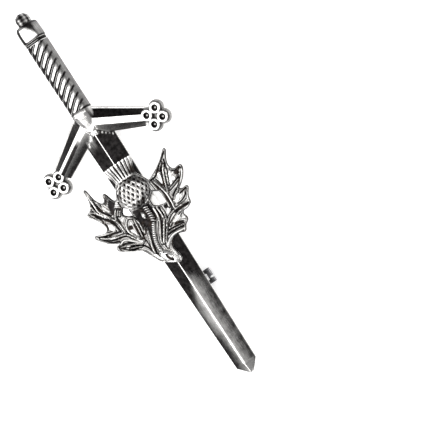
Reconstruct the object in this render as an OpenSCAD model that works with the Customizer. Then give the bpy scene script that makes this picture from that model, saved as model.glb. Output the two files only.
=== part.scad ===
// Kilt pin: a sword with a thistle over its blade, and a pin with a roll-over safety catch behind it.
// X runs along the guard, Y towards the pommel and Z out of the front face.
// It lies face up: the hinge ears and the catch ring stand on z = 0, with the pommel end at +Y.

/* [Blade] */
// From the guard's centre to the point
blade_l = 57; // [52:0.5:62]
// Width where the blade leaves the guard
blade_w = 6.9; // [6.2:0.1:7.6]
// Width where the point begins
blade_end_w = 4.7; // [4:0.1:5.4]
// Thickness at the ridge
ridge_t = 1.8; // [1.5:0.1:2.2]
// Thickness along the edges
edge_t = 0.6; // [0.4:0.1:0.9]
// Length of the point
point_l = 2.1; // [1.5:0.1:3]

/* [Hilt] */
// From the guard's centre to the end of the pommel
hilt_l = 28; // [26:0.5:31]
// Width of the grip
grip_w = 4.5; // [4.1:0.1:4.9]
// Thickness of the grip
grip_t = 3; // [2.6:0.1:3.4]
// Turns of the wrap that show on the grip
wraps = 10; // [8:1:12]
// Rise of the wrap across the grip, in degrees
wrap_rise = 40; // [30:1:48]
// Depth of the groove between two turns
groove_d = 0.35; // [0.2:0.05:0.5]
// Width of the groove between two turns
groove_w = 0.55; // [0.4:0.05:0.7]
// Length of the beaded rings over the grip
rings_l = 0.9; // [0.7:0.1:1.2]
// Length of the pommel cap
cap_l = 3.8; // [3.2:0.1:4.4]
// Width of the pommel cap
cap_w = 4.7; // [4.3:0.1:5.1]
// Length of the pommel button
button_l = 2.3; // [1.8:0.1:2.8]
// Width of the pommel button
button_w = 3; // [2.6:0.1:3.5]
// Length of the boss above the guard's centre
boss_up = 5; // [4.5:0.1:5.5]
// Length of the boss below the guard's centre
boss_down = 1; // [0.6:0.1:1.6]
// Width of the boss
boss_w = 4; // [3.6:0.1:4.4]

/* [Guard] */
// Length of the guard over both quatrefoils
guard_l = 31.4; // [29:0.2:33]
// From the guard's centre up to the place where the middle lines of the arms meet
arm_rise = 2.7; // [2:0.1:3.2]
// Slope of each arm, in degrees
arm_slope = 28.7; // [24:0.1:32]
// Width of an arm at the boss
arm_w = 5.7; // [5:0.1:6.2]
// Width of an arm at its quatrefoil
arm_end_w = 3.95; // [3.5:0.05:4.4]
// Width of the flat strip along an arm
strip_w = 1.2; // [0.8:0.1:1.6]
// Thickness of an arm along its strip
arm_t = 2; // [1.7:0.1:2.4]
// Thickness of an arm along its sides
arm_side_t = 0.9; // [0.6:0.1:1.2]
// Distance between the centres of two neighbouring rings of a quatrefoil
ring_pitch = 2.36; // [2.2:0.02:2.5]
// Outer radius of a ring of a quatrefoil
ring_r = 1.3; // [1.2:0.05:1.4]
// Radius of the dimple in a ring
dimple_r = 0.62; // [0.5:0.02:0.8]
// Depth of the dimple in a ring
dimple_d = 0.6; // [0.4:0.05:0.8]
// Rim of the base around the rings
foil_rim = 0.25; // [0.15:0.01:0.4]
// Thickness of the base of a quatrefoil
foil_t = 1.1; // [0.9:0.1:1.3]
// Height of the rings over their base
ring_h = 0.9; // [0.6:0.05:1.1]
// Turn of a quatrefoil, in degrees
foil_turn = 9; // [0:1:20]

/* [Thistle] */
// Distance of the bulb's centre from the guard's centre
bulb_drop = 14.4; // [13.5:0.1:15.5]
// Distance of the thistle's middle from the blade's, towards the catch lever
thistle_x = 0.5; // [0:0.1:0.7]
// Reach of the leaves to each side of the stem
leaf_reach = 11.9; // [11:0.1:12.5]
// Distance from the bulb's centre to the end of the base bract
stem_l = 16.6; // [15.5:0.1:17.5]
// Half width of the widest leaf lobe
lobe_w = 1.3; // [1.1:0.05:1.5]
// Thickness of the leaves
leaf_t = 0.8; // [0.6:0.05:1]
// Height of the ribs over the leaves
rib_h = 0.45; // [0.3:0.05:0.6]
// Half width of the ribs
rib_w = 0.3; // [0.2:0.02:0.4]
// Width of the bulb
bulb_w = 7.2; // [6.6:0.1:7.6]
// Height of the bulb over the thistle's back
bulb_h = 3.2; // [2.8:0.1:3.6]
// Relief of the scales on the bulb
scale_d = 0.3; // [0.15:0.05:0.45]
// Rows of scales on the bulb
scale_rows = 6; // [5:1:8]
// Width of the crown at its top
crown_w = 6.9; // [6.2:0.1:7.4]
// Width of the crown where it leaves the bulb
neck_w = 4.9; // [4.4:0.1:5.4]
// Length of the crown
crown_l = 3.4; // [3:0.1:4.2]
// Height of the crown over the thistle's back
crown_h = 2.5; // [2.2:0.1:2.8]
// Flutes round the crown
flutes = 11; // [8:1:14]
// Depth of a flute
flute_d = 0.22; // [0.1:0.02:0.3]
// Height of the stem over the thistle's back
stem_h = 1.7; // [1.4:0.1:2]
// Half width of the stem
stem_w = 0.62; // [0.5:0.02:0.8]
// Beads along the stem
beads = 10; // [8:1:12]

/* [Hinge] */
// Distance of the hinge from the guard's centre, towards the pommel
hinge_up = 2.4; // [1.8:0.1:2.8]
// Distance of the pin's middle line from the sword's back
axis_drop = 1.8; // [1.7:0.05:2.1]
// Radius of the hinge ears, which stand on the table
ear_r = 1.6; // [1.55:0.05:1.8]
// Thickness of a hinge ear
ear_t = 0.9; // [0.7:0.05:1.1]
// Thickness of the tongue that carries the ears
tongue_t = 0.4; // [0.3:0.02:0.45]
// Width of the tongue
tongue_w = 1.6; // [1.3:0.1:1.9]
// Length of the tongue below the hinge
tongue_l = 4.7; // [3.5:0.1:5.5]
// Radius of the rivet
rivet_r = 0.4; // [0.34:0.02:0.46]
// Radius of the rivet's heads
head_r = 0.75; // [0.65:0.05:0.9]
// Height of the rivet's heads
head_h = 0.22; // [0.15:0.01:0.3]

/* [Pin] */
// From the hinge to the pin's point
pin_l = 45.4; // [43:0.2:47]
// Radius of the pin
pin_r = 0.47; // [0.42:0.01:0.5]
// Length of the ground point
pin_point_l = 2.2; // [1.6:0.1:3]
// Radius of the pin's eye
eye_r = 1.2; // [1.05:0.05:1.25]
// Width of the pin's eye
eye_w = 1.2; // [1:0.05:1.4]

/* [Catch] */
// Distance of the catch's middle from the hinge
catch_down = 38.8; // [37.5:0.2:40]
// Length of the ring along the pin
ring_l = 1.3; // [1.1:0.05:1.5]
// Outer radius of the ring
housing_r = 1.74; // [1.72:0.01:1.77]
// Outer radius of the roller where it turns in the ring
roller_r = 1.1; // [1.02:0.02:1.2]
// Width of the slot for the pin
slot_w = 1.24; // [1.15:0.01:1.3]
// Radius of the roller's flanges
flange_r = 1.4; // [1.3:0.02:1.5]
// Length of each flange
flange_l = 0.85; // [0.7:0.05:1]
// Reach of the lever from the roller's middle line
lever_reach = 3.4; // [3.2:0.05:3.7]
// Thickness of the lever
lever_t = 0.8; // [0.6:0.05:1]
// Width of the foot of the ring
foot_w = 2.6; // [2.2:0.1:3]

/* [Fits] */
// Gap between a finding or the thistle and the sword
seat_gap = 0.03; // [0.02:0.01:0.06]
// Clearance round the rivet in the pin's eye, and round the roller in its ring
run_gap = 0.05; // [0.03:0.01:0.08]
// Clearance round the rivet in the ears
ear_gap = 0.02; // [0.01:0.01:0.04]
// Clearance beside the pin's eye and the roller's flanges
side_gap = 0.05; // [0.03:0.01:0.1]

/* [Hidden] */
$fn = 32;

total_l = blade_l + hilt_l;
guard_y = blade_l - total_l / 2;
tip_y = -total_l / 2;
butt_y = total_l / 2;
back_h = ear_r + axis_drop;
// Around the grip and the domes, and along the leaf lobes
arc_steps = 12;
lobe_steps = 4;
bow_steps = 4;
leaf_fn = 6;
// Thickness of the leaves between their lobes
plate_t = 0.7 * leaf_t;
// Roundness of the grip's and the cap's sections, for dome()
grip_square = 0.6;
eps = 0.01;

pewter = [0.62, 0.62, 0.61];
bright = [0.75, 0.75, 0.74];
steel = [0.5, 0.5, 0.52];

function mix(a, b, t) = a + (b - a) * t;

// Outline of a rounded bar over its flat back, from its left foot to its right one.
// squareness 1 is an ellipse, and lower values give steeper flanks.
function dome(half_w, h, steps, squareness) = [
    for (i = [0:steps])
        let (a = 180 - 180 * i / steps, c = cos(a), s = max(0, sin(a)))
        [half_w * sign(c) * pow(abs(c), squareness), h * pow(s, squareness)]
];

// A solid through sections that all have the same number of [x, z] points, one at each y.
module loft(ys, sections) {
    rows = [for (j = [0:len(ys) - 1]) [for (p = sections[j]) [p[0], ys[j], p[1]]]];
    skin(rows);
}

// A solid through rows of [x, y, z] points, which run left to right over the top.
module skin(rows) {
    n = len(rows[0]);
    m = len(rows);
    sides = [
        for (j = [0:m - 2], i = [0:n - 1])
            let (a = j * n + i, b = j * n + (i + 1) % n)
            each [[a, a + n, b + n], [a, b + n, b]]
    ];
    first = [for (i = [0:n - 1]) i];
    last = [for (i = [n - 1:-1:0]) (m - 1) * n + i];
    polyhedron([for (row = rows) each row], concat(sides, [first, last]));
}

// The blade: a flat back, thin edges and a ridge along the middle

function blade_section(half_w, edge, ridge) =
    [[-half_w, 0], [-half_w, edge], [0, ridge], [half_w, edge], [half_w, 0]];

module blade() {
    shoulder_y = tip_y + point_l;
    tip_w = 0.16 * blade_end_w;
    loft([tip_y, shoulder_y, guard_y], [
        blade_section(tip_w / 2, 0.7 * edge_t, 0.6 * ridge_t),
        blade_section(blade_end_w / 2, edge_t, 0.95 * ridge_t),
        blade_section(blade_w / 2, edge_t, ridge_t)
    ]);
}

// The grip: a rounded bar with slanting grooves, which fade out down its flanks.
// The rows of points follow the slant, so the bar is made too long and cut to its length.

grip_low_y = guard_y + boss_up;
grip_top_y = butt_y - button_l - cap_l - rings_l;
wrap_pitch = (grip_top_y - grip_low_y) / wraps;
wrap_shear = tan(wrap_rise);
// Place across one turn, as a share of the pitch, and the depth there as a share of groove_d
groove_share = groove_w / wrap_pitch;
groove_rows = [[0, 0], [1 - groove_share, 0], [1 - 0.8 * groove_share, 1],
    [1 - 0.5 * groove_share, 0.55], [1 - 0.2 * groove_share, 1]];

function grip_row(y, depth) = [
    for (p = dome(0.5 * grip_w, grip_t, arc_steps, grip_square))
        let (
            x = p[0],
            along = y + x * wrap_shear,
            waist = lookup(along, [[grip_low_y, 0.92], [grip_top_y, 1]]),
            flank = max(0, 1 - pow(abs(2 * x / grip_w), 6)),
            sink = p[1] > 0 ? depth * groove_d * flank : 0
        )
        [x * waist, along, p[1] * waist - sink]
];

module grip() {
    reach = grip_w * wrap_shear;
    extra = ceil(reach / wrap_pitch);
    rows = [
        for (turn = [-extra:wraps + extra - 1], r = groove_rows)
            grip_row(grip_low_y + (turn + r[0]) * wrap_pitch, r[1])
    ];
    intersection() {
        skin(rows);
        translate([-grip_w, grip_low_y - eps, 0])
            cube([2 * grip_w, grip_top_y - grip_low_y + 2 * eps, 2 * grip_t]);
    }
}

// Rings, cap and button of the pommel, and the boss: one row for each section.
// Columns: place along the part's length, half width and height as shares of its own sizes

ring_rows = [[0, 0.97, 1], [0.14, 1.03, 1.06], [0.3, 0.94, 0.95], [0.42, 0.99, 1.02],
    [0.58, 0.99, 1.02], [0.7, 0.94, 0.95], [0.86, 1.03, 1.06], [1, 0.97, 1]];
cap_rows = [[0, 0.95, 0.95], [0.08, 1, 1], [0.55, 1, 1.02], [0.8, 0.96, 0.97], [0.93, 0.84, 0.86], [1, 0.66, 0.7]];
button_rows = [[-0.1, 0.9, 0.9], [0.1, 0.95, 0.95], [0.5, 1, 1], [0.8, 0.8, 0.85], [0.95, 0.5, 0.6], [1, 0.25, 0.4]];
boss_rows = [[-0.15, 0.2, 0.55], [0.03, 0.5, 0.75], [0.25, 0.82, 0.92], [0.5, 0.96, 1], [0.8, 1.02, 1],
    [0.93, 1.14, 1.02], [1, 1.22, 1.02]];

module turned(y0, length, width, height, rows, squareness) {
    loft([for (r = rows) y0 + r[0] * length],
        [for (r = rows) dome(0.5 * width * r[1], height * r[2], arc_steps, squareness)]);
}

// The guard: two sloping arms, each with a quatrefoil of four dimpled rings at its end

foil_x = guard_l / 2 - ring_pitch * cos(45 - foil_turn) / sqrt(2) - ring_r - foil_rim;
foil_y = guard_y + arm_rise - foil_x * tan(arm_slope);
// The arms end just outside the dimples of the inner rings
arm_len = foil_x / cos(arm_slope) - ring_pitch;

function arm_section(w) = [
    [-w / 2, 0], [-w / 2, arm_side_t], [-strip_w / 2, arm_t],
    [strip_w / 2, arm_t], [w / 2, arm_side_t], [w / 2, 0]
];

module arm() {
    translate([0, guard_y + arm_rise, 0])
        rotate([0, 0, -90 - arm_slope])
            loft([0, arm_len], [arm_section(arm_w), arm_section(arm_end_w)]);
}

module foil_ring() {
    bevel = 0.3 * (ring_r - dimple_r);
    rotate_extrude($fn = 20)
        polygon([[0, 0], [ring_r, 0], [ring_r, foil_t + 0.7 * ring_h], [ring_r - bevel, foil_t + ring_h],
            [dimple_r + bevel, foil_t + ring_h], [dimple_r, foil_t + 0.8 * ring_h],
            [0.8 * dimple_r, foil_t + ring_h - dimple_d], [0, foil_t + ring_h - dimple_d]]);
    cylinder(h = foil_t + ring_h - 0.5 * dimple_d, r = 0.3 * dimple_r, $fn = 8);
}

module quatrefoil() {
    spots = [for (sx = [-1, 1], sy = [-1, 1]) 0.5 * ring_pitch * [sx, sy]];
    rotate([0, 0, foil_turn]) {
        for (spot = spots)
            translate(spot) {
                cylinder(h = foil_t, r = ring_r + foil_rim, $fn = 24);
                foil_ring();
            }
        cylinder(h = foil_t + 0.5 * ring_h, r = 0.35 * ring_pitch, $fn = 16);
    }
}

module guard_half() {
    arm();
    translate([foil_x, foil_y, 0]) quatrefoil();
}

module sword() {
    color(pewter) translate([0, 0, back_h]) {
        blade();
        guard_half();
        mirror([1, 0, 0]) guard_half();
        turned(guard_y - boss_down, boss_up + boss_down, boss_w, grip_t, boss_rows, 0.85);
        grip();
        turned(grip_top_y, rings_l, grip_w, grip_t, ring_rows, grip_square);
        turned(butt_y - button_l - cap_l, cap_l, cap_w, grip_t, cap_rows, grip_square);
        turned(butt_y - button_l, button_l, button_w, 0.8 * grip_t, button_rows, 0.9);
    }
}

// The thistle. Its middle is the bulb's centre, and its flat back lies just over the blade's ridge

bulb_y = guard_y - bulb_drop;
thistle_z = back_h + ridge_t + seat_gap;

// Outline of the leaves with their bract. It runs from one point to the next through the place between them,
// first down the left leaf, then up the right one. All are shares of leaf_reach across and of stem_l along.
// Columns: point x, point y, between x, between y
leaf_outline = [
    [-0.31, 0.03, -0.405, 0.054],
    [-0.488, 0.181, -0.617, 0.108],
    [-0.746, 0.352, -0.80, 0.15],
    [-0.931, 0.078, -0.774, -0.181],
    [-1.041, -0.187, -0.894, -0.337],
    [-0.709, -0.41, -0.755, -0.428],
    [-0.811, -0.455, -0.691, -0.542],
    [-0.441, -0.639, -0.368, -0.735],
    [-0.276, -0.867, -0.147, -0.934],
    [0.046, -1.0, 0.083, -0.946],
    [0.046, -0.861, 0.055, -0.777],
    [0.148, -0.717, 0.277, -0.715],
    [0.406, -0.729, 0.452, -0.675],
    [0.567, -0.617, 0.545, -0.56],
    [0.554, -0.512, 0.665, -0.509],
    [0.771, -0.476, 0.785, -0.392],
    [0.881, -0.289, 0.79, -0.289],
    [0.701, -0.265, 0.885, -0.19],
    [0.983, -0.03, 0.775, 0.012],
    [0.886, 0.244, 0.591, 0.09],
    [0.332, 0.018, 0, 0]
];
// The two gaps cut through beside the bulb. Columns: x, y
right_gap = [[0.166, -0.181], [0.24, -0.139], [0.284, -0.12], [0.387, -0.163],
    [0.396, -0.307], [0.353, -0.319], [0.222, -0.295], [0.157, -0.259]];
left_gap = [[-0.388, -0.157], [-0.378, -0.127], [-0.328, -0.084],
    [-0.241, -0.127], [-0.237, -0.229], [-0.332, -0.199]];

// Lobes raised on the leaves, in the same shares. The width is a share of lobe_w.
// Columns: root x, root y, bend x, bend y, tip x, tip y, width
left_lobes = [
    [-0.14, -0.86, -0.34, -0.70, -0.54, -0.33, 0.50],
    [-0.52, -0.36, -0.78, -0.10, -0.745, 0.345, 0.75],
    [-0.54, -0.16, -0.52, 0.02, -0.485, 0.175, 0.60],
    [-0.56, -0.26, -0.74, -0.12, -0.925, 0.075, 0.55],
    [-0.46, -0.46, -0.76, -0.38, -1.035, -0.19, 0.80],
    [-0.36, -0.60, -0.60, -0.50, -0.80, -0.45, 0.70],
    [-0.20, -0.78, -0.42, -0.62, -0.68, -0.54, 0.55],
    [-0.54, -0.34, -0.52, -0.10, -0.30, 0.02, 0.45],
    [-0.16, -0.84, -0.24, -0.50, -0.30, -0.24, 0.75],
    [-0.30, -0.62, -0.52, -0.34, -0.34, -0.20, 0.40]
];
right_lobes = [
    [0.00, -0.92, 0.12, -0.72, 0.46, -0.38, 0.50],
    [0.42, -0.36, 0.54, 0.00, 0.88, 0.235, 0.80],
    [0.44, -0.34, 0.78, -0.20, 0.975, -0.035, 0.70],
    [0.42, -0.40, 0.68, -0.40, 0.875, -0.29, 0.60],
    [0.34, -0.46, 0.54, -0.44, 0.765, -0.475, 0.45],
    [0.16, -0.66, 0.36, -0.56, 0.56, -0.615, 0.70],
    [0.00, -0.84, 0.14, -0.68, 0.40, -0.725, 0.45],
    [0.46, -0.40, 0.44, -0.16, 0.32, 0.02, 0.40],
    [0.00, -0.84, 0.10, -0.52, 0.17, -0.30, 0.60],
    [0.06, -0.78, 0.20, -0.56, 0.25, -0.33, 0.50]
];
// Width along a lobe, as a share of its full width, and height of its rib, as a share of rib_h
lobe_taper = [[0, 0.75], [0.4, 1], [0.75, 0.6], [1, 0.1]];
rib_taper = [[0, 1], [0.7, 0.9], [1, 0.1]];

function bend(lobe, t) =
    let (
        a = [lobe[0] * leaf_reach, lobe[1] * stem_l],
        b = [lobe[2] * leaf_reach, lobe[3] * stem_l],
        c = [lobe[4] * leaf_reach, lobe[5] * stem_l]
    )
    mix(mix(a, b, t), mix(b, c, t), t);

// A point of the bow from a to b that passes through m in its middle
function bow(a, m, b, t) = let (c = 2 * m - (a + b) / 2) mix(mix(a, c, t), mix(c, b, t), t);

module leaf_plate() {
    last = len(leaf_outline) - 1;
    points = [
        for (i = [0:last])
            let (r = leaf_outline[i], next = leaf_outline[i == last ? 0 : i + 1])
            for (k = [0:bow_steps - 1]) bow([r[0], r[1]], [r[2], r[3]], [next[0], next[1]], k / bow_steps)
    ];
    linear_extrude(plate_t)
        difference() {
            scale([leaf_reach, stem_l]) polygon(points);
            for (gap = [left_gap, right_gap]) scale([leaf_reach, stem_l]) polygon(gap);
        }
}

module lobe_slice(lobe, t) {
    half_w = lobe_w * lobe[6] * lookup(t, lobe_taper);
    translate(bend(lobe, t)) cylinder(h = leaf_t, r1 = half_w, r2 = 0.75 * half_w, $fn = leaf_fn);
}

module rib_slice(lobe, t) {
    h = leaf_t + rib_h * lookup(t, rib_taper);
    translate(bend(lobe, t)) cylinder(h = h, r1 = 1.6 * rib_w * (1.1 - t), r2 = 0.7 * rib_w * (1.1 - t), $fn = 6);
}

module leaf_lobe(lobe) {
    for (k = [0:lobe_steps - 1]) {
        t0 = k / lobe_steps;
        t1 = (k + 1) / lobe_steps;
        hull() {
            lobe_slice(lobe, t0);
            lobe_slice(lobe, t1);
        }
        hull() {
            rib_slice(lobe, t0);
            rib_slice(lobe, t1);
        }
    }
}

// The bulb: neighbouring points stand high and low in turn, which makes a lattice of diamond scales
function bulb_section(j, last, t) =
    let (w = 0.5 * bulb_w * sqrt(max(0.02, 1 - pow(2 * t - 1, 2))), share = 2 * w / bulb_w)
    [
        for (i = [0:2 * scale_rows])
            let (
                a = 180 - 90 * i / scale_rows,
                raised = (i + j) % 2 == 0 || j == 0 || j == last,
                r = raised || i == 0 || i == 2 * scale_rows ? 0 : scale_d * share
            )
            [(w - r) * cos(a), max(0, (bulb_h * share - r) * sin(a))]
    ];

module bulb() {
    last = 2 * scale_rows;
    loft([for (j = [0:last]) bulb_w * (j / last - 0.5)],
        [for (j = [0:last]) bulb_section(j, last, j / last)]);
}

// The crown: a fluted cup that widens upwards. Columns: place along it, and how far it is widened
crown_rows = [[-0.12, -0.05], [0.08, 0], [0.45, 0.3], [0.8, 0.83], [1, 1]];

function crown_section(widened) =
    let (w = 0.5 * mix(neck_w, crown_w, widened), h = crown_h * mix(0.75, 1, widened))
    [
        for (i = [0:2 * flutes])
            let (a = 180 - 90 * i / flutes, r = i % 2 == 0 && i > 0 && i < 2 * flutes ? flute_d : 0)
            [(w - r) * cos(a), max(0, (h - r) * sin(a))]
    ];

module crown() {
    loft([for (r = crown_rows) 0.42 * bulb_w + r[0] * crown_l], [for (r = crown_rows) crown_section(r[1])]);
}

// The beaded stem and the bract at its foot. Both follow one bent line, in shares as the lobes
stem_line = [0.0, -0.16, 0.02, -0.55, -0.15, -0.82, 1];

// A post on the stem's line. foot and top are its radii, as shares of stem_w
module stem_post(t, h, foot, top) {
    translate(bend(stem_line, t)) cylinder(h = h, r1 = foot * stem_w, r2 = top * stem_w, $fn = 8);
}

module stem() {
    for (k = [0:beads - 1]) {
        hull() {
            stem_post(k / beads, 0.8 * stem_h, 1, 0.6);
            stem_post((k + 1) / beads, 0.8 * stem_h, 1, 0.6);
        }
        stem_post((k + 0.5) / beads, stem_h, 1.3, 0.5);
    }
}

// Columns: x and y as shares of leaf_reach and stem_l, radius as a share of lobe_w, height of leaf_t
bract_beads = [[-0.19, -0.80, 0.9, 1.5], [-0.08, -0.89, 0.95, 1.9], [0.01, -0.96, 0.4, 1.5], [0.05, -0.99, 0.12, 1.1]];

module bract() {
    difference() {
        for (k = [0:len(bract_beads) - 2])
            hull() for (b = [bract_beads[k], bract_beads[k + 1]])
                translate([b[0] * leaf_reach, b[1] * stem_l, 0])
                    cylinder(h = b[3] * leaf_t, r1 = b[2] * lobe_w, r2 = 0.6 * b[2] * lobe_w, $fn = leaf_fn);
        translate([-0.07 * leaf_reach, -0.885 * stem_l, 1.3 * leaf_t])
            rotate([0, 0, -65]) scale([1.6, 0.7, 1]) cylinder(h = leaf_t, r1 = 0.25 * lobe_w, r2 = 0.4 * lobe_w, $fn = 10);
    }
}

module thistle() {
    color(bright) translate([thistle_x, bulb_y, thistle_z]) {
        leaf_plate();
        for (lobe = left_lobes) leaf_lobe(lobe);
        for (lobe = right_lobes) leaf_lobe(lobe);
        stem();
        bract();
        bulb();
        crown();
    }
}

// The hinge, behind the boss: a tongue with two round ears, the rivet and the eye of the pin

hinge_y = guard_y + hinge_up;
axis_z = ear_r;
seat_z = back_h - seat_gap;
ear_x0 = eye_w / 2 + side_gap;
ears_w = 2 * (ear_x0 + ear_t);

// A cylinder along X round the hinge line
module across(r, x0, x1) {
    translate([x0, hinge_y, axis_z]) rotate([0, 90, 0]) cylinder(h = x1 - x0, r = r);
}

module hinge_bracket() {
    neck = 0.8 * ear_r;
    color(steel) difference() {
        union() {
            for (x0 = [-ear_x0 - ear_t, ear_x0]) {
                across(ear_r, x0, x0 + ear_t);
                translate([x0, hinge_y - neck, axis_z]) cube([ear_t, 2 * neck, seat_z - axis_z]);
            }
            translate([-ears_w / 2, hinge_y - neck, seat_z - tongue_t]) cube([ears_w, 2 * neck, tongue_t]);
            translate([-tongue_w / 2, hinge_y - tongue_l + tongue_w / 2, seat_z - tongue_t])
                cube([tongue_w, tongue_l - tongue_w / 2, tongue_t]);
            translate([0, hinge_y - tongue_l + tongue_w / 2, seat_z - tongue_t]) cylinder(h = tongue_t, r = tongue_w / 2);
        }
        across(rivet_r + ear_gap, -ears_w, ears_w);
    }
}

module hinge_rivet() {
    shank = ears_w / 2 + ear_gap;
    color(steel) {
        across(rivet_r, -shank, shank);
        across(head_r, -shank - head_h, -shank);
        across(head_r, shank, shank + head_h);
    }
}

// A cylinder or cone along the pin's line, from one place to another below the hinge
module along(d0, d1, r0, r1) {
    translate([0, hinge_y - d0, axis_z]) rotate([90, 0, 0]) cylinder(h = d1 - d0, r1 = r0, r2 = r1);
}

module pin_stem() {
    bore_r = rivet_r + run_gap;
    color(steel) {
        difference() {
            across(eye_r, -eye_w / 2, eye_w / 2);
            across(bore_r, -eye_w, eye_w);
        }
        along(0.5 * (bore_r + eye_r), pin_l - pin_point_l, pin_r, pin_r);
        along(pin_l - pin_point_l, pin_l, pin_r, 0.15 * pin_r);
    }
}

// The roll-over catch: a slotted ring on a foot, and a slotted roller with a lever that turns in it

ring_d0 = catch_down - ring_l / 2;
ring_d1 = catch_down + ring_l / 2;
flange_d0 = ring_d0 - side_gap - flange_l;
flange_d1 = ring_d1 + side_gap + flange_l;

// The opening that the pin leaves through, facing away from the sword
module pin_slot(d0, d1) {
    translate([-slot_w / 2, hinge_y - d1, axis_z - 2 * housing_r]) cube([slot_w, d1 - d0, 2 * housing_r]);
}

module catch_housing() {
    ring_y = hinge_y - ring_d1;
    color(steel) difference() {
        union() {
            along(ring_d0, ring_d1, housing_r, housing_r);
            translate([-foot_w / 2, ring_y, axis_z]) cube([foot_w, ring_l, seat_z - axis_z]);
        }
        along(ring_d0 - ring_l, ring_d1 + ring_l, roller_r + run_gap, roller_r + run_gap);
        pin_slot(ring_d0 - ring_l, ring_d1 + ring_l);
        translate([-2 * housing_r, ring_y - ring_l, -housing_r]) cube([4 * housing_r, 3 * ring_l, housing_r]);
    }
}

module catch_roller() {
    bar_x0 = housing_r + 0.45 * (lever_reach - housing_r);
    tab_y = hinge_y - flange_d1;
    tab_l = flange_d1 - flange_d0;
    notch_l = 0.12 * tab_l;
    notch_d = 0.2 * lever_reach;
    color(steel) difference() {
        union() {
            along(flange_d0, flange_d1, roller_r, roller_r);
            for (d = [flange_d0, ring_d1 + side_gap]) {
                along(d, d + flange_l, flange_r, flange_r);
                translate([0, hinge_y - d - flange_l, axis_z - lever_t / 2]) cube([lever_reach, flange_l, lever_t]);
            }
            translate([bar_x0, tab_y, axis_z - lever_t / 2]) cube([lever_reach - bar_x0, tab_l, lever_t]);
        }
        along(flange_d0 - ring_l, flange_d1 + ring_l, slot_w / 2, slot_w / 2);
        pin_slot(flange_d0 - ring_l, flange_d1 + ring_l);
        translate([lever_reach - notch_d, tab_y + 0.32 * tab_l, axis_z - lever_t]) cube([lever_reach, notch_l, 2 * lever_t]);
    }
}

sword();
thistle();
hinge_bracket();
hinge_rivet();
pin_stem();
catch_housing();
catch_roller();
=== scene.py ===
"""A kilt pin: a cast sword with a thistle over its blade, and a pin with a roll-over catch behind it.

X runs along the guard, Y towards the pommel and Z out of the front face. Lengths are in millimetres
until a mesh is made. Patina runs from 0, polished, to 1, blackened. In places the patina values also
hold painted shade and painted highlights.
"""
import math

import bmesh
import bpy
import numpy as np
from mathutils import Matrix, Vector
from mathutils.geometry import delaunay_2d_cdt


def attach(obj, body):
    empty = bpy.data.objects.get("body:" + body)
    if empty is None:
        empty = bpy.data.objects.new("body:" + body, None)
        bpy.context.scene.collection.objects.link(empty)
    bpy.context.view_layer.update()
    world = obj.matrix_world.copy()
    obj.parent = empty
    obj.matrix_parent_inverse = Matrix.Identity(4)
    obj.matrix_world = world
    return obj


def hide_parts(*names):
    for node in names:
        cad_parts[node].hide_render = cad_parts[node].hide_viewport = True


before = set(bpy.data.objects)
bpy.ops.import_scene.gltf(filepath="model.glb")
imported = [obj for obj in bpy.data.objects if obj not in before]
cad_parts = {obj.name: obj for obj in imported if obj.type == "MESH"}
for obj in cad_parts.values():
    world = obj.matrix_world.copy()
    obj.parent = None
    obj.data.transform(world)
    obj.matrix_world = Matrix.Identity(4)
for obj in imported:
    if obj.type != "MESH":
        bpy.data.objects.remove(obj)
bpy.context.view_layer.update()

MM = 0.001

# Sizes of the CAD model, with the names that its source gives them
blade_l = 57
blade_w = 6.9
blade_end_w = 4.7
ridge_t = 1.8
edge_t = 0.6
point_l = 2.1
hilt_l = 28
grip_w = 4.5
grip_t = 3
wraps = 10
wrap_rise = 40
rings_l = 0.9
cap_l = 3.8
cap_w = 4.7
button_l = 2.3
button_w = 3
boss_up = 5
guard_l = 31.4
arm_rise = 2.7
arm_slope = math.radians(28.7)
arm_w = 5.7
arm_end_w = 3.95
strip_w = 1.2
arm_t = 2
arm_side_t = 0.9
ring_pitch = 2.36
ring_r = 1.3
dimple_r = 0.62
dimple_d = 0.6
foil_rim = 0.25
foil_t = 1.1
ring_h = 0.9
foil_turn = math.radians(9)
bulb_drop = 14.4
thistle_x = 0.5
leaf_reach = 11.9
stem_l = 16.6
leaf_t = 0.8
bulb_w = 7.2
bulb_h = 3.2
crown_w = 6.9
neck_w = 4.9
crown_l = 3.4
crown_h = 2.5
flutes = 11
back_h = 3.4
seat_gap = 0.03

total_l = blade_l + hilt_l
guard_y = blade_l - total_l / 2
tip_y = -total_l / 2
butt_y = total_l / 2
bulb_y = guard_y - bulb_drop
thistle_z = back_h + ridge_t + seat_gap
grip_low_y = guard_y + boss_up
grip_top_y = butt_y - button_l - cap_l - rings_l
foil_x = guard_l / 2 - ring_pitch * math.cos(math.pi / 4 - foil_turn) / math.sqrt(2) - ring_r - foil_rim
foil_y = guard_y + arm_rise - foil_x * math.tan(arm_slope)
thistle_at = np.array([thistle_x, bulb_y, thistle_z])

# The camera. Its picture is view_w wide at the object's middle
view_w = 85.5
view_distance = 600.0
view_tilt = math.radians(20.5)
view_heading = math.radians(-8)
# Turn of the sword in the picture, from upright, in degrees, and what the render needs on top of it
sword_lean = -32.716
lean_more = -0.45
view_turn = math.radians(sword_lean + lean_more)
# The picture's middle, from the object's middle, and the height of the latter
view_middle = (15.9, -4.53)
middle_z = 4.2
# Small corrections of the aim, across the sword and along it
nudge_across = 0.12
nudge_up = 0.05
camera_back = np.array([
    math.sin(view_tilt) * math.cos(view_heading),
    math.sin(view_tilt) * math.sin(view_heading),
    math.cos(view_tilt)])
sword_up = np.array([0, 1, 0]) - camera_back * camera_back[1]
sword_up = sword_up / np.linalg.norm(sword_up)
sword_across = np.cross(sword_up, camera_back)
camera_right = math.cos(view_turn) * sword_across + math.sin(view_turn) * sword_up
camera_up = math.cos(view_turn) * sword_up - math.sin(view_turn) * sword_across
camera_aim = (
    np.array([0, 0, middle_z]) + view_middle[0] * camera_right + view_middle[1] * camera_up
    + nudge_across * sword_across + nudge_up * sword_up)
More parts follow.
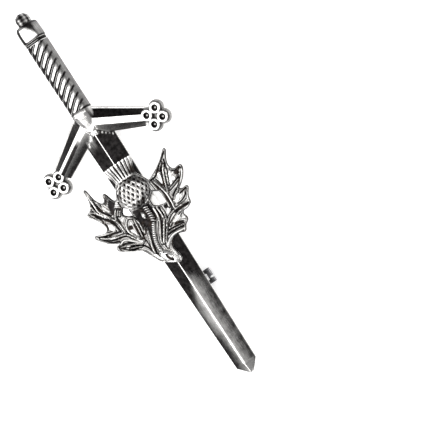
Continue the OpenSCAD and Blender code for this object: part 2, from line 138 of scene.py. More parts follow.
# Places on the thistle are read in an upright view of the sword, in millimetres from its middle
upright_turn = math.radians(sword_lean)
upright_scale = 0.9942


def from_view(places_seen, height):
    """Points at a height over the table that the camera sees at these places of the upright view."""
    x, y = np.asarray(places_seen, float).T
    c, s = math.cos(upright_turn), math.sin(upright_turn)
    u = upright_scale * (c * x + s * y) - view_middle[0]
    v = upright_scale * (c * y - s * x) - view_middle[1]
    eye = camera_aim + view_distance * camera_back
    ray = u[:, None] * camera_right + v[:, None] * camera_up - view_distance * camera_back
    share = (height - eye[2]) / ray[:, 2]
    return (eye + share[:, None] * ray)[:, :2]


# Node trees

class Link:
    """A node's output that Python's operators can work on. Each operation adds a Math node."""

    def __init__(self, graph, socket):
        self.graph = graph
        self.socket = socket

    def math(self, operation, first, second=0.0):
        return self.graph.node("ShaderNodeMath", {"operation": operation}, {0: first, 1: second})

    def __add__(self, other):
        return self.math("ADD", self, other)

    def __radd__(self, other):
        return self.math("ADD", other, self)

    def __sub__(self, other):
        return self.math("SUBTRACT", self, other)

    def __rsub__(self, other):
        return self.math("SUBTRACT", other, self)

    def __mul__(self, other):
        return self.math("MULTIPLY", self, other)

    def __rmul__(self, other):
        return self.math("MULTIPLY", other, self)

    def clamped(self):
        return self.graph.node("ShaderNodeClamp", {}, {"Value": self})


class Graph:
    """A shader or geometry tree.

    node() adds one node: its settings first, then the values or links of its sockets.
    """

    def __init__(self, tree):
        self.tree = tree

    def node(self, kind, settings=None, sockets=None, out=0):
        new = self.tree.nodes.new(kind)
        for key, value in (settings or {}).items():
            setattr(new, key, value)
        for key, value in (sockets or {}).items():
            if isinstance(value, Link):
                self.tree.links.new(value.socket, new.inputs[key])
            else:
                new.inputs[key].default_value = value
        return Link(self, new.outputs[out]) if len(new.outputs) else None


# Materials

def blend_colours(graph, share, low, high):
    return graph.node("ShaderNodeMix", {"data_type": "RGBA"}, {0: share, 6: low, 7: high}, out=2)


def toned(colour, share):
    """A colour made darker or lighter."""
    return tuple(share * c for c in colour[:3]) + (1,)


def object_place(graph):
    return graph.node("ShaderNodeTexCoord", out="Object")


def stretched_place(graph, place, scale):
    return graph.node("ShaderNodeMapping", {}, {"Vector": place, "Scale": scale})


def ramp(graph, value, low, high):
    """0 where the value is low, rising smoothly to 1 where it is high."""
    return graph.node(
        "ShaderNodeMapRange", {"interpolation_type": "SMOOTHSTEP"},
        {"Value": value, "From Min": low, "From Max": high})


def noise(graph, place, per_mm, detail, rough):
    return graph.node("ShaderNodeTexNoise", {}, {
        "Vector": place, "Scale": per_mm / MM, "Detail": detail, "Roughness": rough})


def new_material(name):
    material = bpy.data.materials.new(name)
    material.use_nodes = True
    material.node_tree.nodes.clear()
    return material, Graph(material.node_tree)


def close_material(graph, constants, varying):
    """Adds the shader and the output. constants are the same all over the surface, varying are links."""
    shader = graph.node("ShaderNodeBsdfPrincipled", {}, {**constants, **varying}, out="BSDF")
    graph.node("ShaderNodeOutputMaterial", {}, {"Surface": shader})


def close_metal(graph, colour, roughness, relief, strength, depth):
    """Adds a metal's shader. relief is the height of its fine marks, depth theirs in millimetres."""
    normal = graph.node(
        "ShaderNodeBump", {}, {"Strength": strength, "Distance": depth * MM, "Height": relief})
    close_material(
        graph, {"Metallic": 1.0}, {"Base Color": colour, "Roughness": roughness.clamped(), "Normal": normal})


def pewter(name, gloss=0.17, brush=(1, 1, 1), warmth=0.0, mottle=0.36):
    """Antiqued pewter. brush stretches its strokes, warmth is the brown in its black, mottle its clouds."""
    bright = (0.82, 0.81, 0.79, 1)
    black = (0.012, 0.011, 0.011, 1)
    brown = (0.09, 0.06, 0.04, 1)
    material, graph = new_material(name)
    place = object_place(graph)
    patina = graph.node("ShaderNodeAttribute", {"attribute_name": "patina"}, out="Fac")
    cloud = noise(graph, place, per_mm=0.55, detail=4.0, rough=0.6)
    grain = noise(graph, place, per_mm=7.0, detail=3.0, rough=0.6)
    strokes = noise(graph, stretched_place(graph, place, brush), per_mm=5.0, detail=3.0, rough=0.6)
    # The patina mask also carries painted shade, which this blend paints as black
    mask = (patina + mottle * (cloud - 0.5) + 0.2 * (grain - 0.5) + 0.25 * (strokes - 0.5)).clamped()
    black_and_painted_shade = ramp(graph, mask, 0.12, 0.9)
    metal = blend_colours(graph, ramp(graph, cloud, 0.3, 0.7), bright, toned(bright, 0.9))
    depth = noise(graph, place, per_mm=1.3, detail=4.0, rough=0.65)
    oxide_and_shade_black = blend_colours(graph, ramp(graph, depth, 0.3, 0.75), toned(black, 0.45), toned(black, 2.4))
    colour = blend_colours(graph, black_and_painted_shade, metal, oxide_and_shade_black)
    if warmth:
        colour = blend_colours(graph, warmth * black_and_painted_shade * ramp(graph, cloud, 0.45, 0.75), colour, brown)
    roughness = gloss + 0.26 * black_and_painted_shade + 0.14 * (strokes - 0.35) + 0.06 * (grain - 0.5)
    marks = 0.6 * strokes + 0.7 * grain
    close_metal(graph, colour, roughness, marks, strength=0.5, depth=0.012)
    return material


def dark_steel(name):
    """Black nickel of the findings: dark and glossy, with brighter rubbed patches."""
    dark = (0.14, 0.14, 0.147, 1)
    bare = (0.56, 0.546, 0.56, 1)
    material, graph = new_material(name)
    place = object_place(graph)
    cloud = noise(graph, place, per_mm=0.9, detail=4.0, rough=0.6)
    grain = noise(graph, place, per_mm=9.0, detail=3.0, rough=0.6)
    rubbed = ramp(graph, cloud, 0.46, 0.74)
    roughness = 0.16 + 0.12 * (grain - 0.4) + 0.1 * (1 - rubbed)
    colour = blend_colours(graph, rubbed, dark, bare)
    close_metal(graph, colour, roughness, grain, strength=0.4, depth=0.008)
    return material


def drawn_wire(name):
    """The pin's drawn steel, with fine lines along it."""
    light = (0.62, 0.62, 0.63, 1)
    dull = (0.46, 0.46, 0.47, 1)
    material, graph = new_material(name)
    place = object_place(graph)
    stretched = stretched_place(graph, place, (1, 0.04, 1))
    lines = noise(graph, stretched, per_mm=12.0, detail=4.0, rough=0.65)
    cloud = noise(graph, place, per_mm=0.4, detail=3.0, rough=0.5)
    colour = blend_colours(graph, ramp(graph, cloud, 0.35, 0.7), light, dull)
    roughness = 0.12 + 0.22 * (lines - 0.3)
    close_metal(graph, colour, roughness, lines, strength=0.35, depth=0.006)
    return material


def pale_floor():
    material, graph = new_material("pale_floor")
    cloud = noise(graph, object_place(graph), per_mm=0.02, detail=2.0, rough=0.5)
    colour = blend_colours(graph, cloud, (0.93, 0.93, 0.93, 1), (0.95, 0.95, 0.95, 1))
    close_material(
        graph, {"Roughness": 0.8, "Specular IOR Level": 0.1, "Emission Strength": 0.5},
        {"Base Color": colour, "Emission Color": colour})
    return material


sword_metal = pewter("sword_pewter", brush=(1, 0.12, 1), mottle=0.22)
leaf_metal = pewter("thistle_pewter", gloss=0.2, warmth=0.35)
finding_metal = dark_steel("finding_steel")
pin_metal = drawn_wire("pin_steel")


# Meshes

# Patina of the polished backs: of the flat castings, and of the blade and the hilt
flat_back = 0.05
long_back = 0.08
# The lower edges are broken by this much
edge_break = 0.03


def new_piece(name, points, faces, material, patina=None, sharp=35):
    """A mesh object from points in millimetres. From the angle sharp, in degrees, an edge stays sharp."""
    mesh = bpy.data.meshes.new(name)
    mesh.from_pydata((np.asarray(points, float) * MM).tolist(), [], faces)
    mesh.materials.append(material)
    mesh.polygons.foreach_set("use_smooth", [True] * len(mesh.polygons))
    mesh.set_sharp_from_angle(angle=math.radians(sharp))
    mesh.update()
    obj = shown(name, mesh)
    if patina is not None:
        set_patina_and_painted_light(obj, patina)
    return obj


def shown(name, data):
    """An object of the scene with this mesh, light or camera."""
    obj = bpy.data.objects.new(name, data)
    bpy.context.scene.collection.objects.link(obj)
    return obj


def loft(rows):
    """Points and faces of a solid through rows of equally many points, which run left to right on top."""
    n = len(rows[0])
    points = np.concatenate([np.asarray(r, float) for r in rows])
    faces = []
    for j in range(len(rows) - 1):
        for i in range(n):
            a = j * n + i
            b = j * n + (i + 1) % n
            faces.append((a, b, b + n, a + n))
    faces.append(tuple(range(n - 1, -1, -1)))
    faces.append(tuple((len(rows) - 1) * n + i for i in range(n)))
    return points, faces


def length_along(line):
    """How far along a line each of its points lies."""
    return np.concatenate([[0], np.cumsum(np.linalg.norm(np.diff(line, axis=0), axis=1))])


def evened(line, many, endpoint=True):
    """A line of points again, at equal steps."""
    run = length_along(line)
    even = np.linspace(0, run[-1], many, endpoint=endpoint)
    return np.stack([np.interp(even, run, line[:, k]) for k in (0, 1)], 1)


def divided(corners, spacing):
    """A closed outline with points between its corners, about one spacing apart."""
    parts = []
    for a, b in zip(corners, np.roll(corners, -1, axis=0)):
        count = max(1, round(float(np.linalg.norm(b - a)) / spacing))
        parts.append(a + (b - a) * np.linspace(0, 1, count, endpoint=False)[:, None])
    return np.concatenate(parts)


def arch(half_w, height, steps, squareness):
    """The outline of a rounded bar, from its left foot over the top to its right one, as rows of x and z."""
    a = np.linspace(math.pi, 0, 1201)
    c = np.cos(a)
    s = np.clip(np.sin(a), 0, None)
    dense = np.stack([half_w * np.sign(c) * np.abs(c) ** squareness, height * s ** squareness], 1)
    return evened(dense, steps + 1)


def smooth_step(value, low, high):
    t = np.clip((np.asarray(value, float) - low) / (high - low), 0, 1)
    return t * t * (3 - 2 * t)


def hump(value, half_width):
    """1 at 0, falling smoothly to 0 at half_width on both sides."""
    t = np.clip(np.abs(value) / half_width, 0, 1)
    return (1 - t * t) ** 2


# Patina values, which in places also carry painted shade and painted highlights
def set_patina_and_painted_light(obj, values):
    mesh = obj.data
    layer = mesh.attributes.get("patina") or mesh.attributes.new("patina", "FLOAT", "POINT")
    layer.data.foreach_set("value", np.clip(np.asarray(values, float), 0, 1))


def places(obj):
    """The points of an object's mesh in millimetres."""
    flat = np.empty(3 * len(obj.data.vertices))
    obj.data.vertices.foreach_get("co", flat)
    return flat.reshape(-1, 3) / MM


def inside(points, polygon):
    """Which points lie inside a polygon, by counting its crossings."""
    x, y = points[:, 0], points[:, 1]
    result = np.zeros(len(points), bool)
    for (ax, ay), (bx, by) in zip(polygon, np.roll(polygon, -1, axis=0)):
        crosses = (ay > y) != (by > y)
        with np.errstate(divide="ignore", invalid="ignore"):
            reach = (bx - ax) * (y - ay) / (by - ay) + ax
        result ^= crosses & (x < reach)
    return result


def near_line(points, line, closed=False):
    """Distance from each point to a line, and the share of the line that is nearest."""
    ends = np.roll(line, -1, axis=0) if closed else line[1:]
    starts = line if closed else line[:-1]
    best = np.full(len(points), 1e9)
    share = np.zeros(len(points))
    for k, (a, b) in enumerate(zip(starts, ends)):
        ab = b - a
        t = np.clip(((points - a) @ ab) / max(ab @ ab, 1e-12), 0, 1)
        d = np.linalg.norm(points - a - t[:, None] * ab, axis=1)
        closer = d < best
        best = np.where(closer, d, best)
        share = np.where(closer, (k + t) / len(starts), share)
    return best, share


def signed_area(loop):
    """More than 0 where the loop runs against the clock."""
    ahead = np.roll(loop, -1, axis=0)
    return 0.5 * float(np.sum(loop[:, 0] * ahead[:, 1] - ahead[:, 0] * loop[:, 1]))


def filled(loops, filling):
    """Points and upward triangles over loops[0] without the other loops. The loops' points come first."""
    edges = []
    start = 0
    for loop in loops:
        many = len(loop)
        edges += [(start + i, start + (i + 1) % many) for i in range(many)]
        start += many
    points = np.concatenate(loops + [filling])
    flat, _, triangles, _, _, _ = delaunay_2d_cdt([Vector(p) for p in points], edges, [], 1, 1e-6)
    flat = np.array([tuple(p) for p in flat])
    triangles = np.array([tuple(t) for t in triangles])
    middle = flat[triangles].mean(axis=1)
    wanted = np.ones(len(triangles), bool)
    for gap in loops[1:]:
        wanted &= ~inside(middle, gap)
    return flat, triangles[wanted]


def relief_slab(name, loops, relief, low, material, step, sharp):
    """A relief over a flat outline, loops[0], with the other loops cut through.

    relief gives the height over low and the patina of points, from their distance to the edge.
    """
    border, gaps = loops[0], loops[1:]
    near, far = border.min(axis=0), border.max(axis=0)
    filling = []
    for k, y in enumerate(np.arange(near[1], far[1], step * math.sqrt(3) / 2)):
        x = np.arange(near[0] + (k % 2) * step / 2, far[0], step)
        filling.append(np.stack([x, np.full(len(x), y)], 1))
    filling = np.concatenate(filling)
    keep = inside(filling, border)
    for gap in gaps:
        keep &= ~inside(filling, gap)
    filling = filling[keep]
    clear = np.min([near_line(filling, loop, closed=True)[0] for loop in loops], axis=0)
    filling = filling[clear > 0.4 * step]
    flat, triangles = filled(loops, filling)
    rim, back = filled(loops, filling[:0])
    edge = np.min([near_line(flat, loop, closed=True)[0] for loop in loops], axis=0)
    height, dark = relief(flat, edge)
    n = len(flat)
    faces = [tuple(t) for t in triangles.tolist()]
    faces += [(n + t[2], n + t[1], n + t[0]) for t in back.tolist()]
    start = 0
    for loop in loops:
        turned_in = (start > 0) != (signed_area(loop) < 0)
        for i in range(len(loop)):
            a, b = start + i, start + (i + 1) % len(loop)
            faces.append((a, b, n + b, n + a) if turned_in else (b, a, n + a, n + b))
        start += len(loop)
    top = np.column_stack([flat, low + height])
    bottom = np.column_stack([rim, np.full(len(rim), low)])
    tone = np.concatenate([dark, np.full(len(rim), flat_back)])
    return new_piece(name, np.concatenate([top, bottom]), faces, material, tone, sharp)


# Geometry node trees

def geometry_tree(name, inputs):
    tree = bpy.data.node_groups.new(name, "GeometryNodeTree")
    tree.interface.new_socket(name="Geometry", in_out="INPUT", socket_type="NodeSocketGeometry")
    for label, kind in inputs:
        tree.interface.new_socket(name=label, in_out="INPUT", socket_type=kind)
    tree.interface.new_socket(name="Geometry", in_out="OUTPUT", socket_type="NodeSocketGeometry")
    graph = Graph(tree)
    source = tree.nodes.new("NodeGroupInput")
    taken = {socket.name: Link(graph, socket) for socket in source.outputs if socket.name}
    return tree, graph, taken


def close_tree(graph, shape, material):
    whole = graph.node("GeometryNodeRealizeInstances", {}, {"Geometry": shape})
    smooth = graph.node("GeometryNodeSetShadeSmooth", {}, {"Geometry": whole})
    painted = graph.node("GeometryNodeSetMaterial", {}, {"Geometry": smooth, "Material": material})
    graph.node("NodeGroupOutput", {}, {"Geometry": painted})


def copies_tree():
    """Sets a small form on every point, upright on the attribute facing and turned towards along."""
    tree, graph, taken = geometry_tree("set_copies", [
        ("Form", "NodeSocketObject"), ("Size", "NodeSocketFloat"), ("Metal", "NodeSocketMaterial")])
    facing, along = (
        graph.node("GeometryNodeInputNamedAttribute", {"data_type": "FLOAT_VECTOR"}, {"Name": label})
        for label in ("facing", "along"))
    upright = graph.node("FunctionNodeAlignRotationToVector", {"axis": "Z"}, {"Vector": facing})
    turned = graph.node(
        "FunctionNodeAlignRotationToVector", {"axis": "X", "pivot_axis": "Z"},
        {"Rotation": upright, "Vector": along})
    form = graph.node("GeometryNodeObjectInfo", {}, {"Object": taken["Form"]}, out="Geometry")
    spots = graph.node("GeometryNodeInstanceOnPoints", {}, {
        "Points": taken["Geometry"], "Instance": form, "Rotation": turned, "Scale": taken["Size"]})
    close_tree(graph, spots, taken["Metal"])
    return tree


def beads_tree():
    """A line of beads on a thin core, along each run of edges."""
    tree, graph, taken = geometry_tree("thread_beads", [
        ("Bead", "NodeSocketFloat"), ("Spacing", "NodeSocketFloat"), ("Core", "NodeSocketFloat"),
        ("Length", "NodeSocketFloat"), ("Slant", "NodeSocketFloat"), ("Metal", "NodeSocketMaterial")])
    line = graph.node("GeometryNodeMeshToCurve", {}, {"Mesh": taken["Geometry"]})
    dots = tree.nodes.new("GeometryNodeCurveToPoints")
    dots.mode = "LENGTH"
    tree.links.new(line.socket, dots.inputs["Curve"])
    tree.links.new(taken["Spacing"].socket, dots.inputs["Length"])
    bead = graph.node("GeometryNodeMeshIcoSphere", {}, {"Radius": taken["Bead"], "Subdivisions": 2})
    shape = graph.node("ShaderNodeCombineXYZ", {}, {"X": 1.0, "Y": 1.0, "Z": taken["Length"]})
    tilt = graph.node("ShaderNodeCombineXYZ", {}, {"X": taken["Slant"], "Y": taken["Slant"], "Z": 0.0})
    lean = graph.node("FunctionNodeEulerToRotation", {}, {"Euler": tilt})
    turned = graph.node("FunctionNodeRotateRotation", {"rotation_space": "LOCAL"}, {
        "Rotation": Link(graph, dots.outputs["Rotation"]), "Rotate By": lean})
    row = graph.node("GeometryNodeInstanceOnPoints", {}, {
        "Points": Link(graph, dots.outputs["Points"]), "Instance": bead, "Rotation": turned, "Scale": shape})
    ring = graph.node("GeometryNodeCurvePrimitiveCircle", {}, {"Resolution": 6, "Radius": taken["Core"]})
    core = graph.node(
        "GeometryNodeCurveToMesh", {}, {"Curve": line, "Profile Curve": ring, "Fill Caps": True})
    joined = tree.nodes.new("GeometryNodeJoinGeometry")
    tree.links.new(core.socket, joined.inputs[0])
    tree.links.new(row.socket, joined.inputs[0])
    close_tree(graph, Link(graph, joined.outputs[0]), taken["Metal"])
    return tree


set_copies = copies_tree()
thread_beads = beads_tree()


def grown(name, tree, base, inputs, sharp):
    """Runs a geometry tree on the base object and gives the result as a plain mesh object."""
    modifier = base.modifiers.new("grow", "NODES")
    modifier.node_group = tree
    keys = {item.name: item.identifier for item in tree.interface.items_tree if item.in_out == "INPUT"}
    for label, value in inputs.items():
        modifier[keys[label]] = value
    bpy.context.view_layer.update()
    mesh = bpy.data.meshes.new_from_object(base.evaluated_get(bpy.context.evaluated_depsgraph_get()))
    mesh.name = name
    mesh.set_sharp_from_angle(angle=math.radians(sharp))
    base.modifiers.remove(modifier)
    bpy.data.objects.remove(base)
    return shown(name, mesh)


def copies(name, form_points, form_faces, at, facing, along, metal, sharp=35):
    """One small form at each place. facing is its direction there, along the way that it turns to."""
    form = new_piece(name + "_form", form_points, form_faces, metal)
    spots = new_piece(name + "_spots", at, [], metal)
    for label, values in (("facing", facing), ("along", along)):
        layer = spots.data.attributes.new(label, "FLOAT_VECTOR", "POINT")
        layer.data.foreach_set("vector", np.asarray(values, float).ravel())
    obj = grown(name, set_copies, spots, {"Form": form, "Size": 1.0, "Metal": metal}, sharp)
    bpy.data.objects.remove(form)
    return obj


def beaded_lines(name, lines, metal, bead, spacing, core, length, slant):
    """Rows of beads of radius bead on a core, along lines of points in millimetres.

    length stretches a bead along its line and slant, in radians, leans it.
    """
    points = np.concatenate(lines)
    edges = []
    start = 0
    for line in lines:
        edges += [(start + i, start + i + 1) for i in range(len(line) - 1)]
        start += len(line)
    mesh = bpy.data.meshes.new(name + "_lines")
    mesh.from_pydata((points * MM).tolist(), edges, [])
    return grown(name, thread_beads, shown(name + "_lines", mesh), {
        "Bead": bead * MM, "Spacing": spacing * MM, "Core": core * MM, "Length": length, "Slant": slant,
        "Metal": metal}, sharp=60)


def join(name, *objs):
    """One object from several, which share their materials."""
    mesh = bpy.data.meshes.new(name)
    shape = bmesh.new()
    for obj in objs:
        shape.from_mesh(obj.data)
    shape.to_mesh(mesh)
    shape.free()
    for material in objs[0].data.materials:
        mesh.materials.append(material)
    for obj in objs:
        bpy.data.objects.remove(obj)
    return shown(name, mesh)


# The blade

shoulder_y = tip_y + point_l
# Where the blade's profile changes, and its width, edge and ridge there
blade_stations = [tip_y, shoulder_y, guard_y]
blade_widths = [0.16 * blade_end_w, blade_end_w, blade_w]
blade_edges = [0.7 * edge_t, edge_t, edge_t]
blade_ridges = [0.6 * ridge_t, 0.95 * ridge_t, ridge_t]


def blade_half(y):
    return 0.5 * np.interp(y, blade_stations, blade_widths)


def ridge_softness(y, upper, more):
    """The ridge is sharp below the guard and softer towards the point."""
    return upper + more * smooth_step(-y, 14, 38)


def blade_row(y):
    half_w = blade_half(y)
    edge = np.interp(y, blade_stations, blade_edges)
    ridge = np.interp(y, blade_stations, blade_ridges)
    soft = ridge_softness(y, 0.06, 0.14)
    x = np.concatenate([np.linspace(-1, -0.1, 16), np.linspace(-0.08, 0.08, 9), np.linspace(0.1, 1, 16)])
    slope = (ridge - edge) / half_w
    z = edge + slope * (math.hypot(half_w, soft) - np.sqrt((x * half_w) ** 2 + soft ** 2))
    z = z - 0.12 * edge * smooth_step(np.abs(x), 0.94, 1)
    top = np.stack([x * half_w, np.full(len(x), y), z], 1)
    left = [[-half_w + edge_break, y, 0.0], [-half_w, y, edge_break]]
    right = [[half_w, y, edge_break], [half_w - edge_break, y, 0.0]]
    row = np.concatenate([left, top, right])
    row[:, 2] += back_h
    return row


def painted_crease_highlight(x, y):
    """Painted highlights in ragged streaks that run down from the guard's crossing. They are fainter on the
    right.
    """
    crotch_y = guard_y + 0.4
    on_left = x < 0.9
    below = crotch_y - np.where(x < 0, 0.69, 0.85) * np.abs(x) - y
    wavy = np.sin(6.5 * x + 1.5 * np.sin(2.7 * x + 1) - y)
    highlight_streaks = np.where(on_left, 0.5 + 0.5 * wavy, 0.4 + 0.15 * wavy)
    reach = np.where(on_left, 0.55 + 0.35 * np.sin(5 * x + 2), 0.3)
    within_blade = smooth_step(0.5 * blade_w - 0.05 - np.abs(x), 0, 0.4)
    return np.clip(1.3 * hump(below - 0.1, reach) * highlight_streaks, 0, 1) * within_blade


def make_blade():
    point = np.linspace(tip_y, shoulder_y, 14)
    straight = np.linspace(shoulder_y, guard_y, 120)
    points, faces = loft([blade_row(y) for y in np.concatenate([point, straight[1:]])])
    x, y, z = points.T
    # Below the thistle the black thins, first beside the ridge and last along the edges. This is partly
    # worn patina and partly painted shade: the left and right facets get different tones as painted shade.
    out = np.clip(np.abs(x) / blade_half(y), 0, 1)
    thins_from_y = np.where(x < 0, 18.8 + 3.5 * out, 16.8 + 1.5 * out)
    low = smooth_step(-y - thins_from_y, 0, np.where(x < 0, 5.5, 4.5))
    black_and_painted_shade = np.where(x < 0, 0.4 + 0.42 * out + 0.14 * smooth_step(-y, 30, 35), 0.57 + 0.27 * out)
    black_and_painted_shade = black_and_painted_shade - np.where(x < 0, 0.15, 0.4) * smooth_step(shoulder_y - y, -0.6, 0.5)
    dark = 0.98 + (black_and_painted_shade - 0.98) * low
    crest = hump(x, 1.5 * ridge_softness(y, 0.08, 0.1))
    dark = dark * (1 - (0.95 - 0.3 * low) * crest)
    rim = smooth_step(out, 0.9, 0.97)
    dark = dark + (np.where(x < 0, 0.88, 0.75) - dark) * rim * low
    # Painted highlights: a bright patch on the blade under the thistle's right gap, and grey on the left
    # facet where it runs up to the guard
    dark = dark - 0.95 * hump(x - 2.9, 1.9) * hump(y + 3.6, 2.6) * (x > 0.4)
    dark = dark - 0.26 * smooth_step(y, 9.0, 13.5) * smooth_step(-x, 0.2, 1.0)
    # Painted highlights along the guard's crossing
    dark = dark * (1 - painted_crease_highlight(x, y))
    dark = np.where(z < back_h + edge_break + 0.01, long_back, dark)
    return new_piece("blade", points, faces, sword_metal, dark, sharp=25)


# The guard

arm_length = foil_x / math.cos(arm_slope) - ring_pitch
arms_meet = np.array([0.0, guard_y + arm_rise])
# The strip lies a little below the arm's middle line. Ledges run along both sides of an arm
strip_drop = 0.15
upper_ledge = 0.36
lower_ledge = 0.12
hub_reach = 4.6
# Backs that overlap lie this much apart, as faces in one plane would fight
back_step = 0.02


def arm_half(along):
    return 0.5 * (arm_w + (arm_end_w - arm_w) * np.asarray(along) / arm_length)


def arm_directions(side):
    """The way out along an arm, and the way up across it."""
    outwards = np.array([side * math.cos(arm_slope), -math.sin(arm_slope)])
    upwards = np.array([side * math.sin(arm_slope), math.cos(arm_slope)])
    return outwards, upwards


def bevel_share(over, half):
    """0 on the strip to 1 at the ledges."""
    off = over + strip_drop
    reach = np.where(off > 0, half - upper_ledge + strip_drop, half - lower_ledge - strip_drop)
    return np.clip((np.abs(off) - 0.5 * strip_w) / (reach - 0.5 * strip_w), 0, 1)


def arm_profile(over, half):
    """Thickness of an arm at a distance over its middle line."""
    share = bevel_share(over, half)
    eased = 1.08 * share * share / (share + 0.08)
    bevel = arm_side_t + (arm_t - arm_side_t) * (1 - eased ** 1.1)
    return bevel - 0.1 * smooth_step(np.abs(over), half - 0.08, half)


def arm_tone(over, half, along, side):
    """Patina and painted shade over an arm: a polished strip between dark bevels. The bevels' black is
    partly painted shade, and the left and right arms get different tones as painted shade.
    """
    share = bevel_share(over, half)
    upper = over + strip_drop > 0
    near = smooth_step(along, 6.5, 1.5)
    # The left arm and the right one are toned differently as painted shade
    if side < 0:
        bevel_up = 0.92 - 0.16 * near
        bevel_low = 0.66 + 0.16 * smooth_step(share, 0.2, 0.8) - 0.16 * near
        ledge = np.where(upper, 0.5, 0.75)
        fade = 0.95 * smooth_step(-over - strip_drop, -0.4, 0.1) * (1 - near)
    else:
        bevel_up = 0.98 - 0.05 * near
        bevel_low = 0.78 - 0.1 * share - 0.14 * near
        ledge = np.where(upper, 0.42, 0.85)
        fade = 0.0
    bevel = smooth_step(share, 0.0, 0.07)
    tone = np.where(upper, bevel_up, bevel_low) * bevel + fade * (1 - bevel)
    tone = tone + (ledge - tone) * smooth_step(share, 0.96, 1.0)
    return np.where(np.abs(over) > half - 0.02, 0.35, tone)


def arm_row(side, along):
    """A section of an arm, and its patina with painted shade. Its points lie closer together at both rims.
    """
    outwards, upwards = arm_directions(side)
    half = float(arm_half(along))
    rim = np.array([0.0, 0.03, 0.06, 0.1, 0.14, 0.2])
    across = np.linspace(0.24 - half, half - 0.38, 40)
    over = side * np.concatenate([rim - half, across, half - rim[::-1] * 1.7])
    thick = arm_profile(over, half)
    tone = arm_tone(over, half, along, side)
    foot = half - edge_break
    over = np.concatenate([[-side * foot, -side * half], over, [side * half, side * foot]])
    thick = np.concatenate([[0, edge_break], thick, [edge_break, 0]])
    tone = np.concatenate([[flat_back, 0.3], tone, [0.3, flat_back]])
    spots = arms_meet + along * outwards + over[:, None] * upwards
    return np.column_stack([spots, back_h + back_step + thick])[::-1], tone[::-1]


def make_arms():
    arms = []
    for side in (-1, 1):
        sections = [arm_row(side, along) for along in np.linspace(hub_reach - 0.05, arm_length, 50)]
        rows = [row for row, _ in sections]
        dark = [tone for _, tone in sections]
        points, faces = loft(rows)
        arms.append(new_piece("arm", points, faces, sword_metal, np.concatenate(dark), sharp=30))
    return join("guard_arms", *arms)


def softer_of(a, b, width=0.3):
    """The larger of two heights, with a fillet where they meet."""
    blend = np.clip(0.5 + 0.5 * (a - b) / width, 0, 1)
    return b + (a - b) * blend + width * blend * (1 - blend)


def hub_relief(points, edge):
    """Height over the sword's back, and patina with painted shade and painted highlights, where the arms,
    the grip's foot and the blade meet.
    """
    x, y = points.T
    up = y - guard_y
    height = np.zeros(len(points))
    tone = np.ones(len(points))
    for side in (-1, 1):
        outwards, upwards = arm_directions(side)
        away = points - arms_meet
        along = away @ outwards
        over = away @ upwards
        half = arm_half(np.clip(along, 0, None))
        arm = arm_profile(over, half) - 2.2 * smooth_step(-along, 0.0, 1.6)
        height = softer_of(arm, height) if side > 0 else arm
        tone = np.where(side * x > 0, arm_tone(over, half, along, side), tone)
    # A polished swell in the middle, and the grip's foot that runs down into it
    middle = 1 - smooth_step(np.hypot(x / 1.75, (up - 1.8) / 2.3), 0.62, 1.12)
    height = softer_of(height, 2.02 * middle, 0.25)
    wide = 1.0 + 1.15 * smooth_step(up, 0.5, 3.7)
    rise = np.clip((up - 0.3) / 3.9, 0, 1)
    tall = 1.95 + 0.6 * rise + 0.4 * smooth_step(rise, 0, 1)
    foot = tall * (1 - np.clip(np.abs(x) / wide, 0, 1) ** 3.2) ** 0.32
    collar = hump(up - 4.3, 0.75)
    foot = foot * (1 + 0.035 * collar)
    height = softer_of(height, foot * (np.abs(x) < wide), 0.3)
    tone = tone * (1 - middle)
    # A painted highlight along the seam where the arms rise from the blade's facets
    blade_top = edge_t + (ridge_t - edge_t) * (1 - np.abs(x) / (0.5 * blade_w))
    ragged = 0.07 * np.sin(9 * x + 4 * y) + 0.05 * np.sin(17 * x - 5 * y + 1)
    seam_highlight = hump(height - blade_top - 0.05 + ragged, 0.17) * (np.abs(x) < 3.4)
    seam_highlight = seam_highlight * (1 - 0.75 * smooth_step(x, 0.4, 1.2))
    tone = tone * (1 - 0.9 * seam_highlight) * (1 - painted_crease_highlight(x, y))
    # Painted shade on both flanks of the grip's foot
    on_foot = smooth_step(up, 2.4, 3.3) * (np.abs(x) < wide + 0.15)
    left_flank_shade = 0.85 * smooth_step(-x, 1.25, 1.6)
    right_flank_shade = 0.7 * smooth_step(x, 1.25, 1.65) - 0.25 * smooth_step(x, 1.85, 2.1)
    tone = tone + (np.where(x < 0, left_flank_shade, right_flank_shade) - tone) * on_foot
    tone = np.maximum(tone, hump(y - grip_low_y, 0.3))
    return height, tone


def make_hub():
    """One relief over the crossing. Its outline follows the arms, the grip's foot and the blade."""
    border = []
    for side in (-1, 1):
        outwards, upwards = arm_directions(side)
        far = float(arm_half(hub_reach))
        near = float(arm_half(0))
        top = arms_meet + hub_reach * outwards + far * upwards
        low = arms_meet + hub_reach * outwards - far * upwards
        foot = arms_meet + near * upwards
        crotch = arms_meet - np.array([0.0, near / math.cos(arm_slope)])
        flank_x = side * 0.49 * grip_w
        slope = (top[1] - foot[1]) / (top[0] - foot[0])
        corner = np.array([flank_x, foot[1] + slope * (flank_x - foot[0])])
        line = [crotch, low, top, corner, np.array([flank_x, grip_low_y])]
        border += line if side > 0 else line[:0:-1]
    loops = [divided(np.array(border), spacing=0.13)]
    hub_z = back_h + 2 * back_step
    return relief_slab("hub", loops, hub_relief, hub_z, sword_metal, step=0.12, sharp=60)


